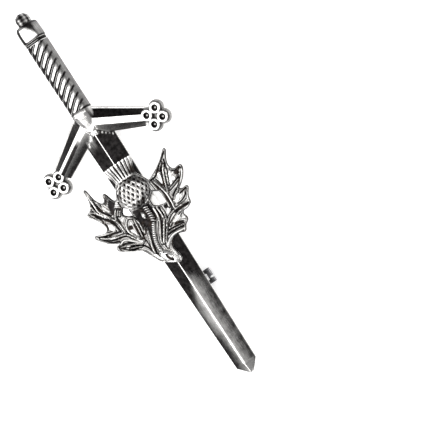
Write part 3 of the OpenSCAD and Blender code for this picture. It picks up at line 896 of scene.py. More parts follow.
def lathe(profile, turns):
    """Points and faces of a turned form on the Z axis. The profile runs from the axis out and down."""
    points = [(0, 0, profile[0][1])]
    angles = [2 * math.pi * k / turns for k in range(turns)]
    for r, z in profile[1:]:
        points += [(r * math.cos(a), r * math.sin(a), z) for a in angles]
    faces = [(0, 1 + k, 1 + (k + 1) % turns) for k in range(turns)]
    for j in range(len(profile) - 2):
        for k in range(turns):
            a = 1 + j * turns + k
            b = 1 + j * turns + (k + 1) % turns
            faces.append((a, a + turns, b + turns, b))
    last = 1 + (len(profile) - 2) * turns
    faces.append(tuple(last + k for k in range(turns - 1, -1, -1)))
    return points, faces


def foil_spots(side):
    """The centres of a quatrefoil's four rings."""
    turn = side * foil_turn
    c, s = 0.5 * ring_pitch * math.cos(turn), 0.5 * ring_pitch * math.sin(turn)
    return [
        (side * foil_x + sx * c - sy * s, foil_y + sx * s + sy * c, back_h)
        for sx in (-1, 1) for sy in (-1, 1)]


def make_foil_base(side):
    """The plate under a quatrefoil's rings. levels: how far its edge lies back, and its height."""
    turn = side * foil_turn
    reach = ring_pitch / math.sqrt(2)
    big = ring_r + foil_rim
    steps = 120
    levels = [(0.05, 0.0), (0.0, 0.05), (0.0, foil_t - 0.14), (0.04, foil_t - 0.04), (0.14, foil_t)]
    rows = []
    for inset, z in levels:
        row = []
        for k in range(steps):
            a = 2 * math.pi * k / steps
            # The nearest lobe's middle lies this far round
            off = (a - turn) % (math.pi / 2) - math.pi / 4
            r = reach * math.cos(off) + math.sqrt(big ** 2 - (reach * math.sin(off)) ** 2) - inset
            row.append((side * foil_x + r * math.cos(a), foil_y + r * math.sin(a), back_h + z))
        rows.append(row)
    points, faces = loft(rows)
    up = points[:, 2] - back_h
    dark = np.where(up < 0.1, 0.1, np.where(up > foil_t - 0.1, 0.62, 0.66))
    return new_piece("foil_base", points, faces, sword_metal, dark, sharp=30)


def make_foil_rings():
    """Rings with a dimple each, and a small rise in the dimple."""
    top = foil_t + ring_h
    low = top - dimple_d
    profile = [
        (0.0, low + 0.12), (0.16, low + 0.12), (0.26, low + 0.03), (0.36, low), (0.5, low + 0.03),
        (0.56, low + 0.12), (dimple_r, top - 0.12), (0.67, top - 0.03), (0.73, top), (1.05, top),
        (1.1, top - 0.02), (1.16, top - 0.07), (1.25, top - 0.13), (ring_r, top - 0.22),
        (ring_r, foil_t - 0.1)]
    points, faces = lathe(profile, turns=40)
    spots = foil_spots(-1) + foil_spots(1)
    upright = [(0, 0, 1)] * len(spots)
    along_x = [(1, 0, 0)] * len(spots)
    obj = copies("foil_rings", points, faces, spots, upright, along_x, sword_metal)
    place = places(obj)
    away = np.min([np.hypot(place[:, 0] - s[0], place[:, 1] - s[1]) for s in spots], axis=0)
    # Black dimples with a rubbed rise, polished rings, and dark outer slopes with lighter walls
    dark = 1.0 - 0.98 * smooth_step(away, dimple_r - 0.01, dimple_r + 0.06)
    dark = dark * (0.55 + 0.45 * smooth_step(away, 0.2, 0.34))
    dark = dark + 0.8 * smooth_step(away, ring_r - 0.15, ring_r - 0.06)
    wall = smooth_step(back_h + top - place[:, 2], 0.2, 0.4) * (away > ring_r - 0.1)
    set_patina_and_painted_light(obj, dark + (0.6 - dark) * wall)
    return obj


# The grip

wrap_pitch = (grip_top_y - grip_low_y) / wraps
wrap_shear = math.tan(math.radians(wrap_rise))
# The grip's foot as a share of its top, and how square a section of the hilt is: 1 is round
grip_foot = 0.95
hilt_squareness = 0.6
# The wire lies this deep in the grip's grooves
wire_depth = 0.24


def section_normals(outline):
    ahead = np.gradient(outline, axis=0)
    normal = np.stack([-ahead[:, 1], ahead[:, 0]], 1)
    return normal / np.linalg.norm(normal, axis=1)[:, None]


def on_back(outline, tones):
    """Adds a polished back to a row of the hilt: a point beside each of its feet."""
    inset = np.array([0.06, 0])
    outline = np.concatenate([[outline[0] + inset], outline, [outline[-1] - inset]])
    return outline, np.concatenate([[long_back], tones, [long_back]])


def grip_waist(y):
    return np.interp(y, [grip_low_y, grip_top_y], [grip_foot, 1])


def make_grip():
    """Rounded bands that climb to the right, between grooves, with a fine line on both sides of each."""
    rows = []
    dark = []
    for y in np.arange(grip_low_y, grip_top_y + 0.02, 0.05):
        waist = grip_waist(y)
        outline = arch(0.5 * grip_w * waist, grip_t * waist, 72, hilt_squareness)
        x = outline[:, 0]
        # Away from a band's middle, in bands: 0.5 is the groove
        phase = ((y - x * wrap_shear - grip_low_y) / wrap_pitch) % 1
        across = np.abs(phase - 0.5)
        valley = hump(across - 0.5, 0.21)
        lines = hump(across - 0.32, 0.06)
        fade = np.clip(1 - np.abs(2 * x / grip_w / waist) ** 6, 0, 1)
        crown = 1 - (across / 0.32) ** 2
        sink = fade * (0.26 * valley + 0.10 * lines - 0.05 * np.clip(crown, 0, 1))
        shaped = outline - section_normals(outline) * sink[:, None]
        shaped[0] = outline[0]
        shaped[-1] = outline[-1]
        # The grooves' black narrows and pales to the right, and both sides get painted shade
        aside = x / grip_w
        narrowed = smooth_step(aside, 0.12, 0.36)
        black = 1.15 * smooth_step(across, 0.15 + 0.16 * narrowed, 0.3 + 0.14 * narrowed)
        paled = 1 - 0.7 * smooth_step(aside, 0.14, 0.34)
        black = np.clip(black, 0, 1) * smooth_step(fade, 0.1, 0.5) * paled
        left = 0.36 * smooth_step(-aside, -0.12, 0.1) + 0.64 * smooth_step(-aside, 0.16, 0.26)
        right = 0.08 * smooth_step(aside, -0.08, 0.15) + 0.6 * smooth_step(aside, 0.2, 0.4)
        foot = hump(y - grip_low_y, 0.34)
        shaped, tones = on_back(shaped, np.clip(black + left + right + foot, 0, 1))
        rows.append([(p[0], y, back_h + p[1]) for p in shaped])
        dark.append(tones)
    points, faces = loft(rows)
    return new_piece("grip", points, faces, sword_metal, np.concatenate(dark), sharp=50)


def wire_height(x, y):
    """Height of the wire's middle in a groove of the grip."""
    waist = grip_waist(y)
    share = np.clip(np.abs(x) / (0.5 * grip_w * waist), 0, 0.999)
    rise = (1 - share ** (2 / hilt_squareness)) ** (hilt_squareness / 2)
    return back_h - wire_depth + grip_t * waist * rise


def make_grip_wire():
    lines = []
    for k in range(-3, wraps + 4):
        x = np.linspace(-0.46 * grip_w, 0.22 * grip_w, 24)
        y = grip_low_y + k * wrap_pitch + x * wrap_shear
        kept = (y > grip_low_y + 0.1) & (y < grip_top_y - 0.1)
        if kept.sum() < 4:
            continue
        lines.append(np.stack([x, y, wire_height(x, y)], 1)[kept])
    obj = beaded_lines(
        "grip_wire", lines, sword_metal, bead=0.135, spacing=0.25, core=0.07, length=1.25, slant=0.5)
    place = places(obj)
    up = place[:, 2] - wire_height(place[:, 0], place[:, 1])
    set_patina_and_painted_light(obj, 0.95 - 0.62 * smooth_step(up, -0.02, 0.11))
    return obj


def ring_line(y, half_w, height):
    outline = arch(half_w, height, 60, hilt_squareness)[2:-2]
    return np.array([(p[0], y, back_h + p[1]) for p in outline])


def make_bead_rings():
    """A ring of beads between the pommel's rings, and one round the grip's foot."""
    lines = [
        ring_line(grip_top_y + 0.5 * rings_l, 0.5 * grip_w * 0.97, grip_t * 0.98),
        ring_line(grip_low_y + 0.02, 0.5 * grip_w * grip_foot, grip_t * grip_foot)]
    obj = beaded_lines(
        "bead_rings", lines, sword_metal, bead=0.11, spacing=0.2, core=0.07, length=0.9, slant=0.0)
    place = places(obj)
    set_patina_and_painted_light(obj, 0.9 - 0.5 * smooth_step(place[:, 2], back_h + 2.7, back_h + 3.0))
    return obj


# The pommel

def banded(low_y, length, half_w, height, rows):
    """A part of the hilt that starts at low_y. rows: place, width, height and patina, as shares."""
    around = 56
    place, width, tall, tone = np.array(rows).T
    shares = np.unique(np.concatenate([np.linspace(a, b, 10) for a, b in zip(place, place[1:])]))
    sections = []
    dark = []
    for share in shares:
        wide = half_w * np.interp(share, place, width)
        high = height * np.interp(share, place, tall)
        outline = arch(wide, high, around, hilt_squareness)
        outline, tones = on_back(outline, np.full(around + 1, np.interp(share, place, tone)))
        sections.append([(p[0], low_y + share * length, back_h + p[1]) for p in outline])
        dark.append(tones)
    points, faces = loft(sections)
    return points, faces, np.concatenate(dark)


def make_pommel_rings():
    rows = [
        (0, 1.0, 1.0, 0.3), (0.08, 1.01, 1.01, 0.2), (0.15, 1.0, 1.0, 0.9), (0.22, 0.94, 0.94, 1),
        (0.42, 0.93, 0.93, 1), (0.58, 0.93, 0.93, 1), (0.78, 0.94, 0.94, 1), (0.85, 1.0, 1.0, 0.9),
        (0.92, 1.01, 1.01, 0.3), (1, 1.0, 1.0, 0.6)]
    points, faces, dark = banded(grip_top_y, rings_l, 0.5 * grip_w, grip_t, rows)
    return new_piece("pommel_rings", points, faces, sword_metal, dark, sharp=50)


def make_cap():
    rows = [
        (0, 0.93, 0.93, 0.95), (0.05, 0.98, 0.98, 0.5), (0.1, 1, 1, 0.05), (0.55, 1, 1.02, 0.0),
        (0.8, 0.97, 0.98, 0.1), (0.9, 0.9, 0.91, 0.45), (0.95, 0.82, 0.84, 0.85), (1, 0.62, 0.64, 0.95)]
    points, faces, dark = banded(butt_y - button_l - cap_l, cap_l, 0.5 * cap_w, grip_t, rows)
    # Painted shade on both sides and on the upper right corner of the front. up is 0 at the cap's top
    x = points[:, 0] / (0.5 * cap_w)
    up = (points[:, 1] - butt_y + button_l) / cap_l
    corner = smooth_step(x + 1.2 * up, -0.5, 0.15) * smooth_step(0.85 - x, 0, 0.25)
    painted_flank_shade = smooth_step(-x, 0.36, 0.64) + 0.6 * smooth_step(x, 0.62, 0.8) + 0.8 * corner
    dark = np.clip(dark + painted_flank_shade * (points[:, 2] > back_h), 0, 1)
    return new_piece("pommel_cap", points, faces, sword_metal, dark, sharp=50)


def make_button():
    """The pommel's button, with upright ribs and faint dark rings."""
    around = 96
    place = np.linspace(-0.1, 1, 40)
    width = np.interp(place, [-0.1, 0.1, 0.5, 0.8, 0.95, 1], [0.9, 0.95, 1, 0.8, 0.5, 0.25])
    flute = np.abs(np.sin(4.5 * np.linspace(math.pi, 0, around + 1) + 0.4))
    ribs = 1 - 0.07 * (1 - flute) ** 1.5
    rows = []
    dark = []
    for share, wide in zip(place, width):
        outline = arch(0.5 * button_w * wide, 0.8 * grip_t * (0.4 + 0.6 * wide), around, 0.9)
        band = 0.5 + 0.5 * math.cos(2 * math.pi * 3.2 * share)
        tones = np.clip(0.82 - 0.34 * flute ** 2 + 0.16 * band, 0, 1)
        shaped, tones = on_back(outline * ribs[:, None], tones)
        rows.append([(p[0], butt_y + (share - 1) * button_l, back_h + p[1]) for p in shaped])
        dark.append(tones)
    points, faces = loft(rows)
    return new_piece("pommel_button", points, faces, sword_metal, np.concatenate(dark), sharp=50)


# The thistle

# Shares of leaf_reach across and of stem_l along, from the bulb's centre. A row of the outline is a
# corner and the middle of the bow that leads to the next corner
leaf_outline = [
    [-0.34, 0.04, -0.405, 0.06], [-0.488, 0.181, -0.617, 0.108], [-0.746, 0.352, -0.80, 0.15],
    [-0.931, 0.078, -0.774, -0.181], [-1.041, -0.187, -0.894, -0.337], [-0.709, -0.41, -0.755, -0.428],
    [-0.811, -0.455, -0.691, -0.542], [-0.441, -0.639, -0.368, -0.735], [-0.276, -0.867, -0.147, -0.934],
    [0.046, -0.995, 0.066, -0.94], [0.055, -0.861, 0.06, -0.777], [0.148, -0.717, 0.277, -0.699],
    [0.388, -0.722, 0.437, -0.672], [0.535, -0.617, 0.525, -0.56], [0.554, -0.512, 0.665, -0.509],
    [0.752, -0.476, 0.775, -0.392], [0.848, -0.298, 0.775, -0.298], [0.701, -0.265, 0.868, -0.175],
    [0.95, -0.05, 0.77, 0.006], [0.868, 0.222, 0.602, 0.1], [0.332, 0.012, 0, 0.28]]
right_gap = [[0.166, -0.181], [0.24, -0.139], [0.284, -0.12], [0.387, -0.163],
             [0.396, -0.307], [0.353, -0.319], [0.222, -0.295], [0.157, -0.259]]
left_gap = [[-0.388, -0.157], [-0.378, -0.127], [-0.328, -0.084],
            [-0.241, -0.127], [-0.237, -0.229], [-0.332, -0.199]]
share_size = np.array([leaf_reach, stem_l])


def through_line(a, m, b, steps):
    """Points on the bow from a to b that passes through m in its middle, without b itself."""
    a, m, b = (np.array(p) * share_size for p in (a, m, b))
    c = 2 * m - (a + b) / 2
    t = np.linspace(0, 1, steps, endpoint=False)[:, None]
    return (1 - t) ** 2 * a + 2 * t * (1 - t) * c + t ** 2 * b


def outline_points(spacing=0.1, softness=2.2):
    """The leaves' outline at even steps, with its tips and corners rounded."""
    parts = []
    for row, ahead in zip(leaf_outline, leaf_outline[1:] + leaf_outline[:1]):
        parts.append(through_line(row[:2], row[2:4], ahead[:2], steps=40))
    dense = np.concatenate(parts + [parts[0][:1]])
    line = evened(dense, round(length_along(dense)[-1] / spacing), endpoint=False)
    reach = np.arange(-6, 7)
    weights = np.exp(-0.5 * (reach / softness) ** 2)
    weights = weights / weights.sum()
    line = sum(w * np.roll(line, -int(k), axis=0) for w, k in zip(weights, reach))
    ahead = np.roll(line, -1, axis=0) - np.roll(line, 1, axis=0)
    ahead = ahead / np.linalg.norm(ahead, axis=1)[:, None]
    bend = np.roll(ahead, -1, axis=0) - np.roll(ahead, 1, axis=0)
    outwards = np.stack([ahead[:, 1], -ahead[:, 0]], 1) * np.sign(signed_area(line))
    # The smoothing pulls the tips in, so the outline is widened again, most at the tips
    turning = -np.sum(bend * outwards, axis=1)
    numbers = np.arange(len(line))
    away = []
    for bends, least in ((turning, 0.45), (-turning, 0.15)):
        found = numbers[bends > least]
        apart = np.abs(numbers[:, None] - found)
        away.append(spacing * np.minimum(apart, len(line) - apart).min(axis=1))
    to_tip, to_notch = away
    widened = 0.05 + 0.27 * np.exp(-0.5 * (to_tip / 1.2) ** 2) * smooth_step(to_notch, 0.1, 0.9)
    return line + outwards * widened[:, None]


# Lines on the leaves, as places of the upright view. Each starts with its half width
ribs = [
    (0.17, (-8.3, 5.7), (-8.45, 5.05), (-8.5, 3.45), (-8.4, 2.1), (-8.45, 0.6), (-7.8, -0.65),
     (-6.9, -1.9), (-6.3, -3.0), (-6.05, -4.3), (-6.15, -5.6)),
    (0.13, (-7.95, 3.45), (-7.7, 1.85), (-7.5, 0.75), (-7.0, -0.4), (-6.55, -1.1)),
    (0.12, (-9.05, 3.9), (-9.2, 2.8), (-9.05, 1.4), (-8.75, 0.5)),
    (0.16, (-10.0, 1.4), (-9.2, 0.95), (-8.6, 0.05), (-8.05, -0.85), (-7.25, -1.65), (-6.7, -2.2)),
    (0.12, (-10.1, 1.2), (-9.65, 0.3), (-9.2, -0.65), (-8.85, -1.55)),
    (0.16, (-11.05, -3.35), (-10.3, -3.75), (-9.5, -4.05), (-8.5, -4.25), (-7.6, -4.4)),
    (0.17, (-10.9, -3.95), (-10.0, -4.75), (-9.2, -5.1), (-8.2, -5.35)),
    (0.18, (-9.3, -5.3), (-8.5, -5.55), (-7.4, -5.8), (-6.3, -6.0), (-5.8, -6.6), (-5.3, -7.45),
     (-4.6, -8.4), (-3.7, -9.1)),
    (0.26, (-8.2, -7.4), (-7.5, -6.95), (-6.8, -7.0), (-6.0, -7.7), (-5.0, -8.6), (-4.0, -9.3)),
    (0.12, (-8.6, -7.75), (-7.8, -7.95), (-6.7, -8.2), (-5.5, -8.85), (-4.4, -9.5)),
    (0.12, (-6.9, -9.05), (-5.6, -9.45), (-4.7, -9.8)),
    (0.12, (-8.5, -8.2), (-7.6, -9.2), (-6.7, -9.8), (-5.6, -10.1)),
    (0.3, (-6.7, -9.95), (-5.55, -10.4), (-4.5, -11.3), (-4.05, -12.7), (-3.5, -14.05), (-2.6, -14.95)),
    (0.18, (-6.2, -2.5), (-6.0, -1.7), (-5.6, -1.25), (-5.2, -0.8)),
    (0.12, (-5.6, -2.05), (-5.2, -1.55), (-4.8, -1.1)),
    (0.14, (-5.25, -2.3), (-4.9, -1.85), (-4.5, -1.35)),
    (0.22, (-4.15, -3.55), (-5.05, -4.4), (-5.4, -5.35), (-5.4, -6.2), (-4.8, -7.1), (-4.4, -8.2)),
    (0.17, (-4.1, -3.6), (-3.3, -4.0), (-2.75, -5.0), (-2.65, -6.3), (-2.95, -7.6)),
    (0.12, (-3.3, -4.6), (-3.35, -6.3), (-3.6, -8.4)),
    (0.1, (-2.1, -6.8), (-2.5, -7.3), (-2.9, -8.0)),
    (0.2, (-2.0, -7.75), (-2.4, -8.75), (-2.75, -9.9), (-3.05, -11.0), (-3.25, -12.4)),
    (0.08, (-1.6, -8.9), (-2.0, -10.2), (-2.4, -11.4), (-2.65, -12.6)),
    (0.14, (3.6, 0.2), (3.75, -1.0), (3.95, -2.2), (4.1, -3.8), (4.3, -4.9), (4.15, -6.1)),
    (0.2, (4.1, 0.1), (4.6, -1.2), (4.9, -2.4), (5.15, -3.6), (5.15, -4.85), (5.05, -6.1), (4.9, -6.9)),
    (0.17, (7.6, 1.7), (6.8, 0.3), (6.2, -1.2), (5.7, -2.8), (5.45, -3.6)),
    (0.11, (7.7, 1.0), (7.0, -0.6), (6.4, -2.3)),
    (0.1, (7.5, 2.3), (6.4, 1.1)),
    (0.14, (9.2, 3.1), (8.6, 2.1), (8.2, 1.0), (7.9, 0.0)),
    (0.13, (10.2, -0.9), (9.9, -1.9), (9.2, -2.6), (8.6, -3.2), (7.7, -3.9), (7.0, -4.5)),
    (0.1, (10.0, -0.8), (9.5, -1.6), (9.1, -2.0)),
    (0.12, (8.6, -2.4), (7.5, -2.8), (6.1, -3.2)),
    (0.12, (7.0, -4.3), (6.0, -5.0), (5.4, -6.0)),
    (0.19, (9.0, -5.2), (8.5, -6.2), (8.0, -6.8), (6.9, -7.05), (4.8, -7.15)),
    (0.15, (8.2, -7.9), (6.9, -7.9), (5.6, -7.9), (4.15, -8.4), (2.9, -9.0), (2.3, -9.4)),
    (0.13, (8.1, -7.15), (6.9, -7.15), (5.4, -7.1), (3.75, -7.35), (2.9, -7.9), (2.0, -8.7)),
    (0.12, (1.25, -10.35), (2.5, -10.3), (3.75, -10.45), (4.7, -10.55)),
    (0.25, (-0.45, -12.9), (0.1, -12.1), (0.95, -11.5), (2.3, -11.1), (3.55, -11.3), (4.5, -11.4)),
    (0.2, (1.3, -4.3), (1.3, -6.2), (0.95, -7.4), (0.4, -8.4), (-0.25, -9.6), (-0.9, -10.75),
     (-1.05, -11.6)),
    (0.16, (1.95, -4.7), (2.05, -6.2), (1.95, -7.3)),
    (0.16, (1.9, -7.6), (1.4, -8.4), (0.65, -9.5), (-0.05, -10.6), (-0.65, -11.7)),
    (0.13, (2.6, -5.3), (2.65, -6.9), (2.3, -8.0), (1.6, -9.4), (1.0, -10.1), (0.25, -11.1),
     (-0.5, -12.4))]
cuts = [
    (0.13, (-8.77, 3.8), (-8.77, 2.55), (-8.72, 1.2), (-8.75, 0.5)),
    (0.17, (-8.25, 4.8), (-8.15, 3.45), (-8.1, 2.1), (-8.0, 0.6), (-7.4, -0.5), (-6.75, -1.4)),
    (0.16, (-8.05, 5.7), (-7.8, 4.35), (-7.55, 3.0), (-7.3, 1.85), (-6.7, 1.4), (-6.0, 1.85)),
    (0.1, (-5.45, 2.9), (-5.05, 1.65), (-4.35, 0.5)),
    (0.12, (-4.07, 0.2), (-4.05, -1.1)),
    (0.22, (-9.75, 0.95), (-9.3, 0.15), (-8.55, -0.75), (-7.9, -1.5), (-7.2, -2.6), (-6.85, -3.8),
     (-6.7, -5.3)),
    (0.16, (-8.65, -2.0), (-8.45, -2.9), (-8.75, -3.5), (-9.65, -3.7), (-10.65, -3.35)),
    (0.14, (-9.3, -4.55), (-8.6, -4.68), (-7.8, -4.78), (-6.7, -5.05)),
    (0.08, (-11.0, -3.75), (-10.3, -4.2), (-9.4, -4.5)),
    (0.1, (-11.1, -4.05), (-10.65, -4.7), (-9.75, -5.5), (-8.85, -5.85), (-8.0, -6.1)),
    (0.15, (-7.9, -6.05), (-6.75, -6.2), (-6.1, -6.65), (-5.5, -7.55), (-4.8, -8.4)),
    (0.15, (-10.5, -5.4), (-9.2, -6.2), (-8.05, -6.55), (-7.9, -7.0), (-8.85, -7.55)),
    (0.1, (-8.6, -7.7), (-7.7, -7.45), (-6.7, -7.7), (-5.55, -8.35), (-4.2, -9.5)),
    (0.08, (-7.9, -8.3), (-6.75, -8.7), (-5.3, -9.25)),
    (0.14, (-5.6, -9.15), (-4.45, -9.75), (-3.9, -10.5), (-3.6, -11.3), (-3.4, -12.2)),
    (0.1, (-7.3, -9.0), (-6.75, -9.35), (-5.7, -9.7), (-4.75, -10.0)),
    (0.14, (-5.85, -3.8), (-5.9, -2.5), (-5.75, -1.95), (-5.4, -1.45), (-4.98, -0.9)),
    (0.08, (-5.35, -2.0), (-5.0, -1.6), (-4.65, -1.15)),
    (0.14, (-4.85, -2.35), (-4.45, -1.85), (-4.1, -1.15)),
    (0.18, (-4.9, -2.55), (-3.95, -2.9), (-3.25, -3.6), (-2.7, -4.7), (-2.5, -6.1)),
    (0.1, (-5.8, -5.6), (-5.65, -6.4), (-5.15, -7.2), (-4.75, -7.9)),
    (0.13, (4.6, -6.3), (4.2, -6.9), (4.0, -7.1)),
    (0.16, (-3.75, -5.2), (-3.85, -6.8), (-3.95, -8.2)),
    (0.1, (-3.0, -5.0), (-3.0, -6.4), (-3.3, -8.0), (-3.45, -8.8), (-3.35, -10.0), (-3.4, -11.4)),
    (0.16, (-1.75, -8.2), (-2.1, -9.25), (-2.5, -10.4), (-2.85, -11.6), (-3.05, -12.8), (-2.75, -13.6)),
    (0.16, (3.6, 0.35), (4.6, 0.35), (5.1, 0.5), (6.0, 1.2), (6.9, 2.05), (8.4, 3.25), (9.3, 3.85)),
    (0.1, (9.5, 3.7), (9.35, 2.9), (8.75, 1.8), (8.42, 0.7), (8.2, 0.0)),
    (0.18, (7.0, 1.5), (6.5, 0.6), (6.1, -0.2), (5.65, -1.6), (5.4, -2.4)),
    (0.1, (7.5, 1.0), (6.65, -0.7), (6.05, -2.2)),
    (0.14, (8.3, 2.6), (7.95, 1.4), (7.4, -0.2), (6.75, -1.8)),
    (0.17, (3.87, 0.1), (4.2, -0.9), (4.42, -1.9), (4.65, -3.2), (4.75, -4.9), (4.7, -6.3)),
    (0.13, (4.75, 0.1), (5.05, -0.9), (5.3, -1.9)),
    (0.16, (8.3, -0.25), (9.2, -0.5), (10.2, -0.4)),
    (0.12, (10.3, -0.7), (10.2, -1.3), (9.7, -2.2), (8.9, -2.95), (8.0, -3.5), (6.8, -4.0), (5.8, -4.7)),
    (0.13, (9.3, -0.9), (9.0, -2.0), (8.0, -2.35), (6.8, -2.7)),
    (0.13, (7.3, -5.0), (8.1, -4.85), (9.1, -4.65)),
    (0.08, (9.5, -4.85), (8.95, -6.1), (8.2, -7.35)),
    (0.12, (8.85, -5.05), (8.0, -5.9), (6.9, -6.4), (5.85, -6.5)),
    (0.2, (8.2, -7.55), (6.9, -7.55), (5.6, -7.45), (4.4, -7.75)),
    (0.08, (8.0, -8.2), (7.0, -8.35), (6.0, -8.35), (5.3, -8.65), (4.95, -9.1)),
    (0.26, (3.2, -9.6), (4.2, -9.75), (5.0, -10.15)),
    (0.1, (1.5, -9.95), (2.7, -10.0), (3.95, -10.25)),
    (0.12, (0.85, -10.8), (2.1, -10.65), (3.35, -10.65), (4.5, -10.9)),
    (0.13, (0.6, -12.35), (1.65, -11.8), (2.7, -11.6), (3.95, -11.8)),
    (0.12, (1.63, -4.4), (1.65, -6.1), (1.45, -7.2), (1.1, -8.0), (0.5, -9.0), (-0.25, -10.25),
     (-0.8, -11.25)),
    (0.11, (2.3, -4.85), (2.35, -6.1), (2.25, -6.9)),
    (0.1, (2.1, -8.25), (1.5, -9.1), (0.8, -10.0), (0.0, -11.1), (-0.7, -12.25)),
    (0.1, (0.45, -12.7), (0.33, -13.5), (0.35, -14.5), (0.5, -15.4))]
# Smooth places between the lines: x, y, half width, half length, turn in degrees, patina
smooth_places = [
    (-7.05, -0.05, 0.42, 1.25, 20, 0.0), (-7.2, -2.6, 0.33, 1.2, 25, 0.85), (-8.0, -3.4, 0.45, 1.0, 25, 0.0),
    (-5.95, 1.75, 0.4, 0.9, -40, 0.78),
    (-4.6, -6.9, 0.3, 1.0, 15, 0.02), (-4.65, -5.5, 0.5, 0.42, 0, 1.0), (-1.3, -5.1, 1.0, 1.9, 0, 0.97),
    (5.62, -0.3, 0.3, 1.15, -10, 0.0), (7.45, -1.0, 0.36, 1.6, -22, 0.0), (7.75, -1.75, 0.45, 0.45, 0, 0.0),
    (9.1, -1.0, 0.55, 0.5, 10, 0.85), (8.75, -1.95, 0.5, 0.3, 30, 0.6),
    (6.3, -5.55, 0.4, 0.95, -50, 0.0), (3.95, -8.9, 0.3, 1.0, -75, 0.0), (3.6, -5.65, 0.42, 0.45, 0, 1.0),
    (3.4, -6.7, 0.33, 0.6, -40, 0.05), (5.6, -9.2, 0.35, 0.6, -10, 0.35), (-8.3, -5.05, 0.18, 0.8, 80, 0.6),
    (-7.2, -8.25, 0.2, 0.7, 65, 0.42), (-5.7, -10.2, 0.25, 1.0, -70, 0.0), (-3.3, -13.6, 0.5, 1.2, 25, 0.0),
    (0.25, -14.6, 0.22, 1.5, 14, 0.4)]
# Dark grounds: round the stem below the bulb, and beside the upper left lobe
dark_fields = [
    [(-2.6, -3.0), (1.0, -3.0), (0.95, -5.5), (0.7, -6.6), (-0.2, -7.6), (-1.0, -8.6), (-1.7, -8.4),
     (-2.0, -7.0), (-2.6, -5.6)],
    [(-5.5, 2.9), (-5.1, 1.8), (-4.45, 0.6), (-5.3, -0.3), (-6.2, -1.5), (-6.3, -0.8), (-6.25, 0.3),
     (-6.05, 0.8), (-5.35, 1.75)]]
# The bract's smooth hump, its eye, and the small bud beside the stem
bract_hump = (-1.3, -14.5, 1.05, 2.4, 30)
bract_eye = (-1.05, -14.7, 0.42, 1.08, 24)
bract_light = (-0.9, -14.5, 0.2, 0.6, 22)
bract_dots = [(-2.25, -13.15, 0.13, 0.14, 0), (-1.65, -13.15, 0.13, 0.14, 0)]
bud = (-1.2, -4.8, 0.45, 0.88, 0)


def smoothed(line, rounds=2):
    """The line with its corners cut, and its ends kept."""
    for _ in range(rounds):
        near = 0.75 * line[:-1] + 0.25 * line[1:]
        far = 0.25 * line[:-1] + 0.75 * line[1:]
        line = np.concatenate([line[:1], np.stack([near, far], 1).reshape(-1, 2), line[-1:]])
    return line


def seen_on_leaves(places_seen):
    """The places of the upright view, from the bulb's centre on the leaves."""
    return from_view(places_seen, thistle_z + leaf_t) - thistle_at[:2]


def oval(points, spot):
    """Distance from an oval's middle, with 1 at its rim."""
    x, y, half_w, half_l, turn = spot[:5]
    middle = seen_on_leaves([(x, y)])[0]
    a = math.radians(turn)
    dx, dy = points[:, 0] - middle[0], points[:, 1] - middle[1]
    c, s = math.cos(a), math.sin(a)
    return np.hypot((dx * c + dy * s) / half_w, (dy * c - dx * s) / half_l)


def shaded_field(points, corners, soft=0.18):
    """1 inside a patch of the upright view, 0 outside."""
    line = seen_on_leaves(corners)
    away = near_line(points, line, closed=True)[0]
    away = np.where(inside(points, line), away, -away)
    return smooth_step(away, -soft, soft)


def leaf_grounds(points, to_rib):
    """Height and patina between the ribs. to_rib is each point's distance to the nearest one."""
    # A black flank on both sides of a rib, and fine veins farther off
    flank = hump(to_rib - 0.26, 0.18)
    veins = (0.5 + 0.5 * np.cos(2 * math.pi * to_rib / 0.42)) * smooth_step(to_rib, 0.3, 0.45)
    height = 0.56 - 0.06 * flank + 0.02 * veins
    dark = 0.7 + 0.28 * flank - 0.25 * veins
    for spot in smooth_places:
        share = 1 - smooth_step(oval(points, spot), 0.75, 1.2)
        height = height - 0.1 * share
        dark = dark + (spot[5] - dark) * share
    field = np.max([shaded_field(points, corners) for corners in dark_fields], axis=0)
    dark = dark + (0.97 - dark) * field
    return height - 0.12 * field, dark


def line_share(line, found, past_end):
    """1 on a line of the leaves, falling to 0 beside it and at its ends. found is from near_line."""
    away, along = found
    return hump(away, 1.5 * line[0]) * smooth_step(np.minimum(along, 1 - along), -past_end, 0.08)


def add_bract(points, edge, height, dark):
    """The bract with its eye and dots, painted shade along the outline, and the bud, on the height and
    patina so far.
    """
    swell = np.clip(1 - oval(points, bract_hump) ** 2, 0, 1)
    height = height + 0.6 * np.sqrt(swell) * smooth_step(swell, 0, 0.3)
    dark = dark * (1 - smooth_step(swell, 0.0, 0.25))
    # Painted shade in a thin band just inside the leaves' outline and the gaps' rims
    dark = dark + (0.95 - dark) * (1 - smooth_step(edge, 0.07, 0.13))
    eye = oval(points, bract_eye)
    light = 1 - smooth_step(oval(points, bract_light), 0.7, 1.3)
    height = height - 0.3 * (1 - smooth_step(eye, 0.75, 1.1)) + 0.2 * light
    dark = np.maximum(dark, (1 - smooth_step(eye, 0.85, 1.1)) * (1 - 0.65 * light))
    for dot in bract_dots:
        share = 1 - smooth_step(oval(points, dot), 0.6, 1.4)
        height = height - 0.15 * share
        dark = np.maximum(dark, share)
    swell = np.clip(1 - oval(points, bud) ** 2, 0, 1)
    return height + 0.5 * np.sqrt(swell), dark * (1 - smooth_step(swell, 0, 0.3))


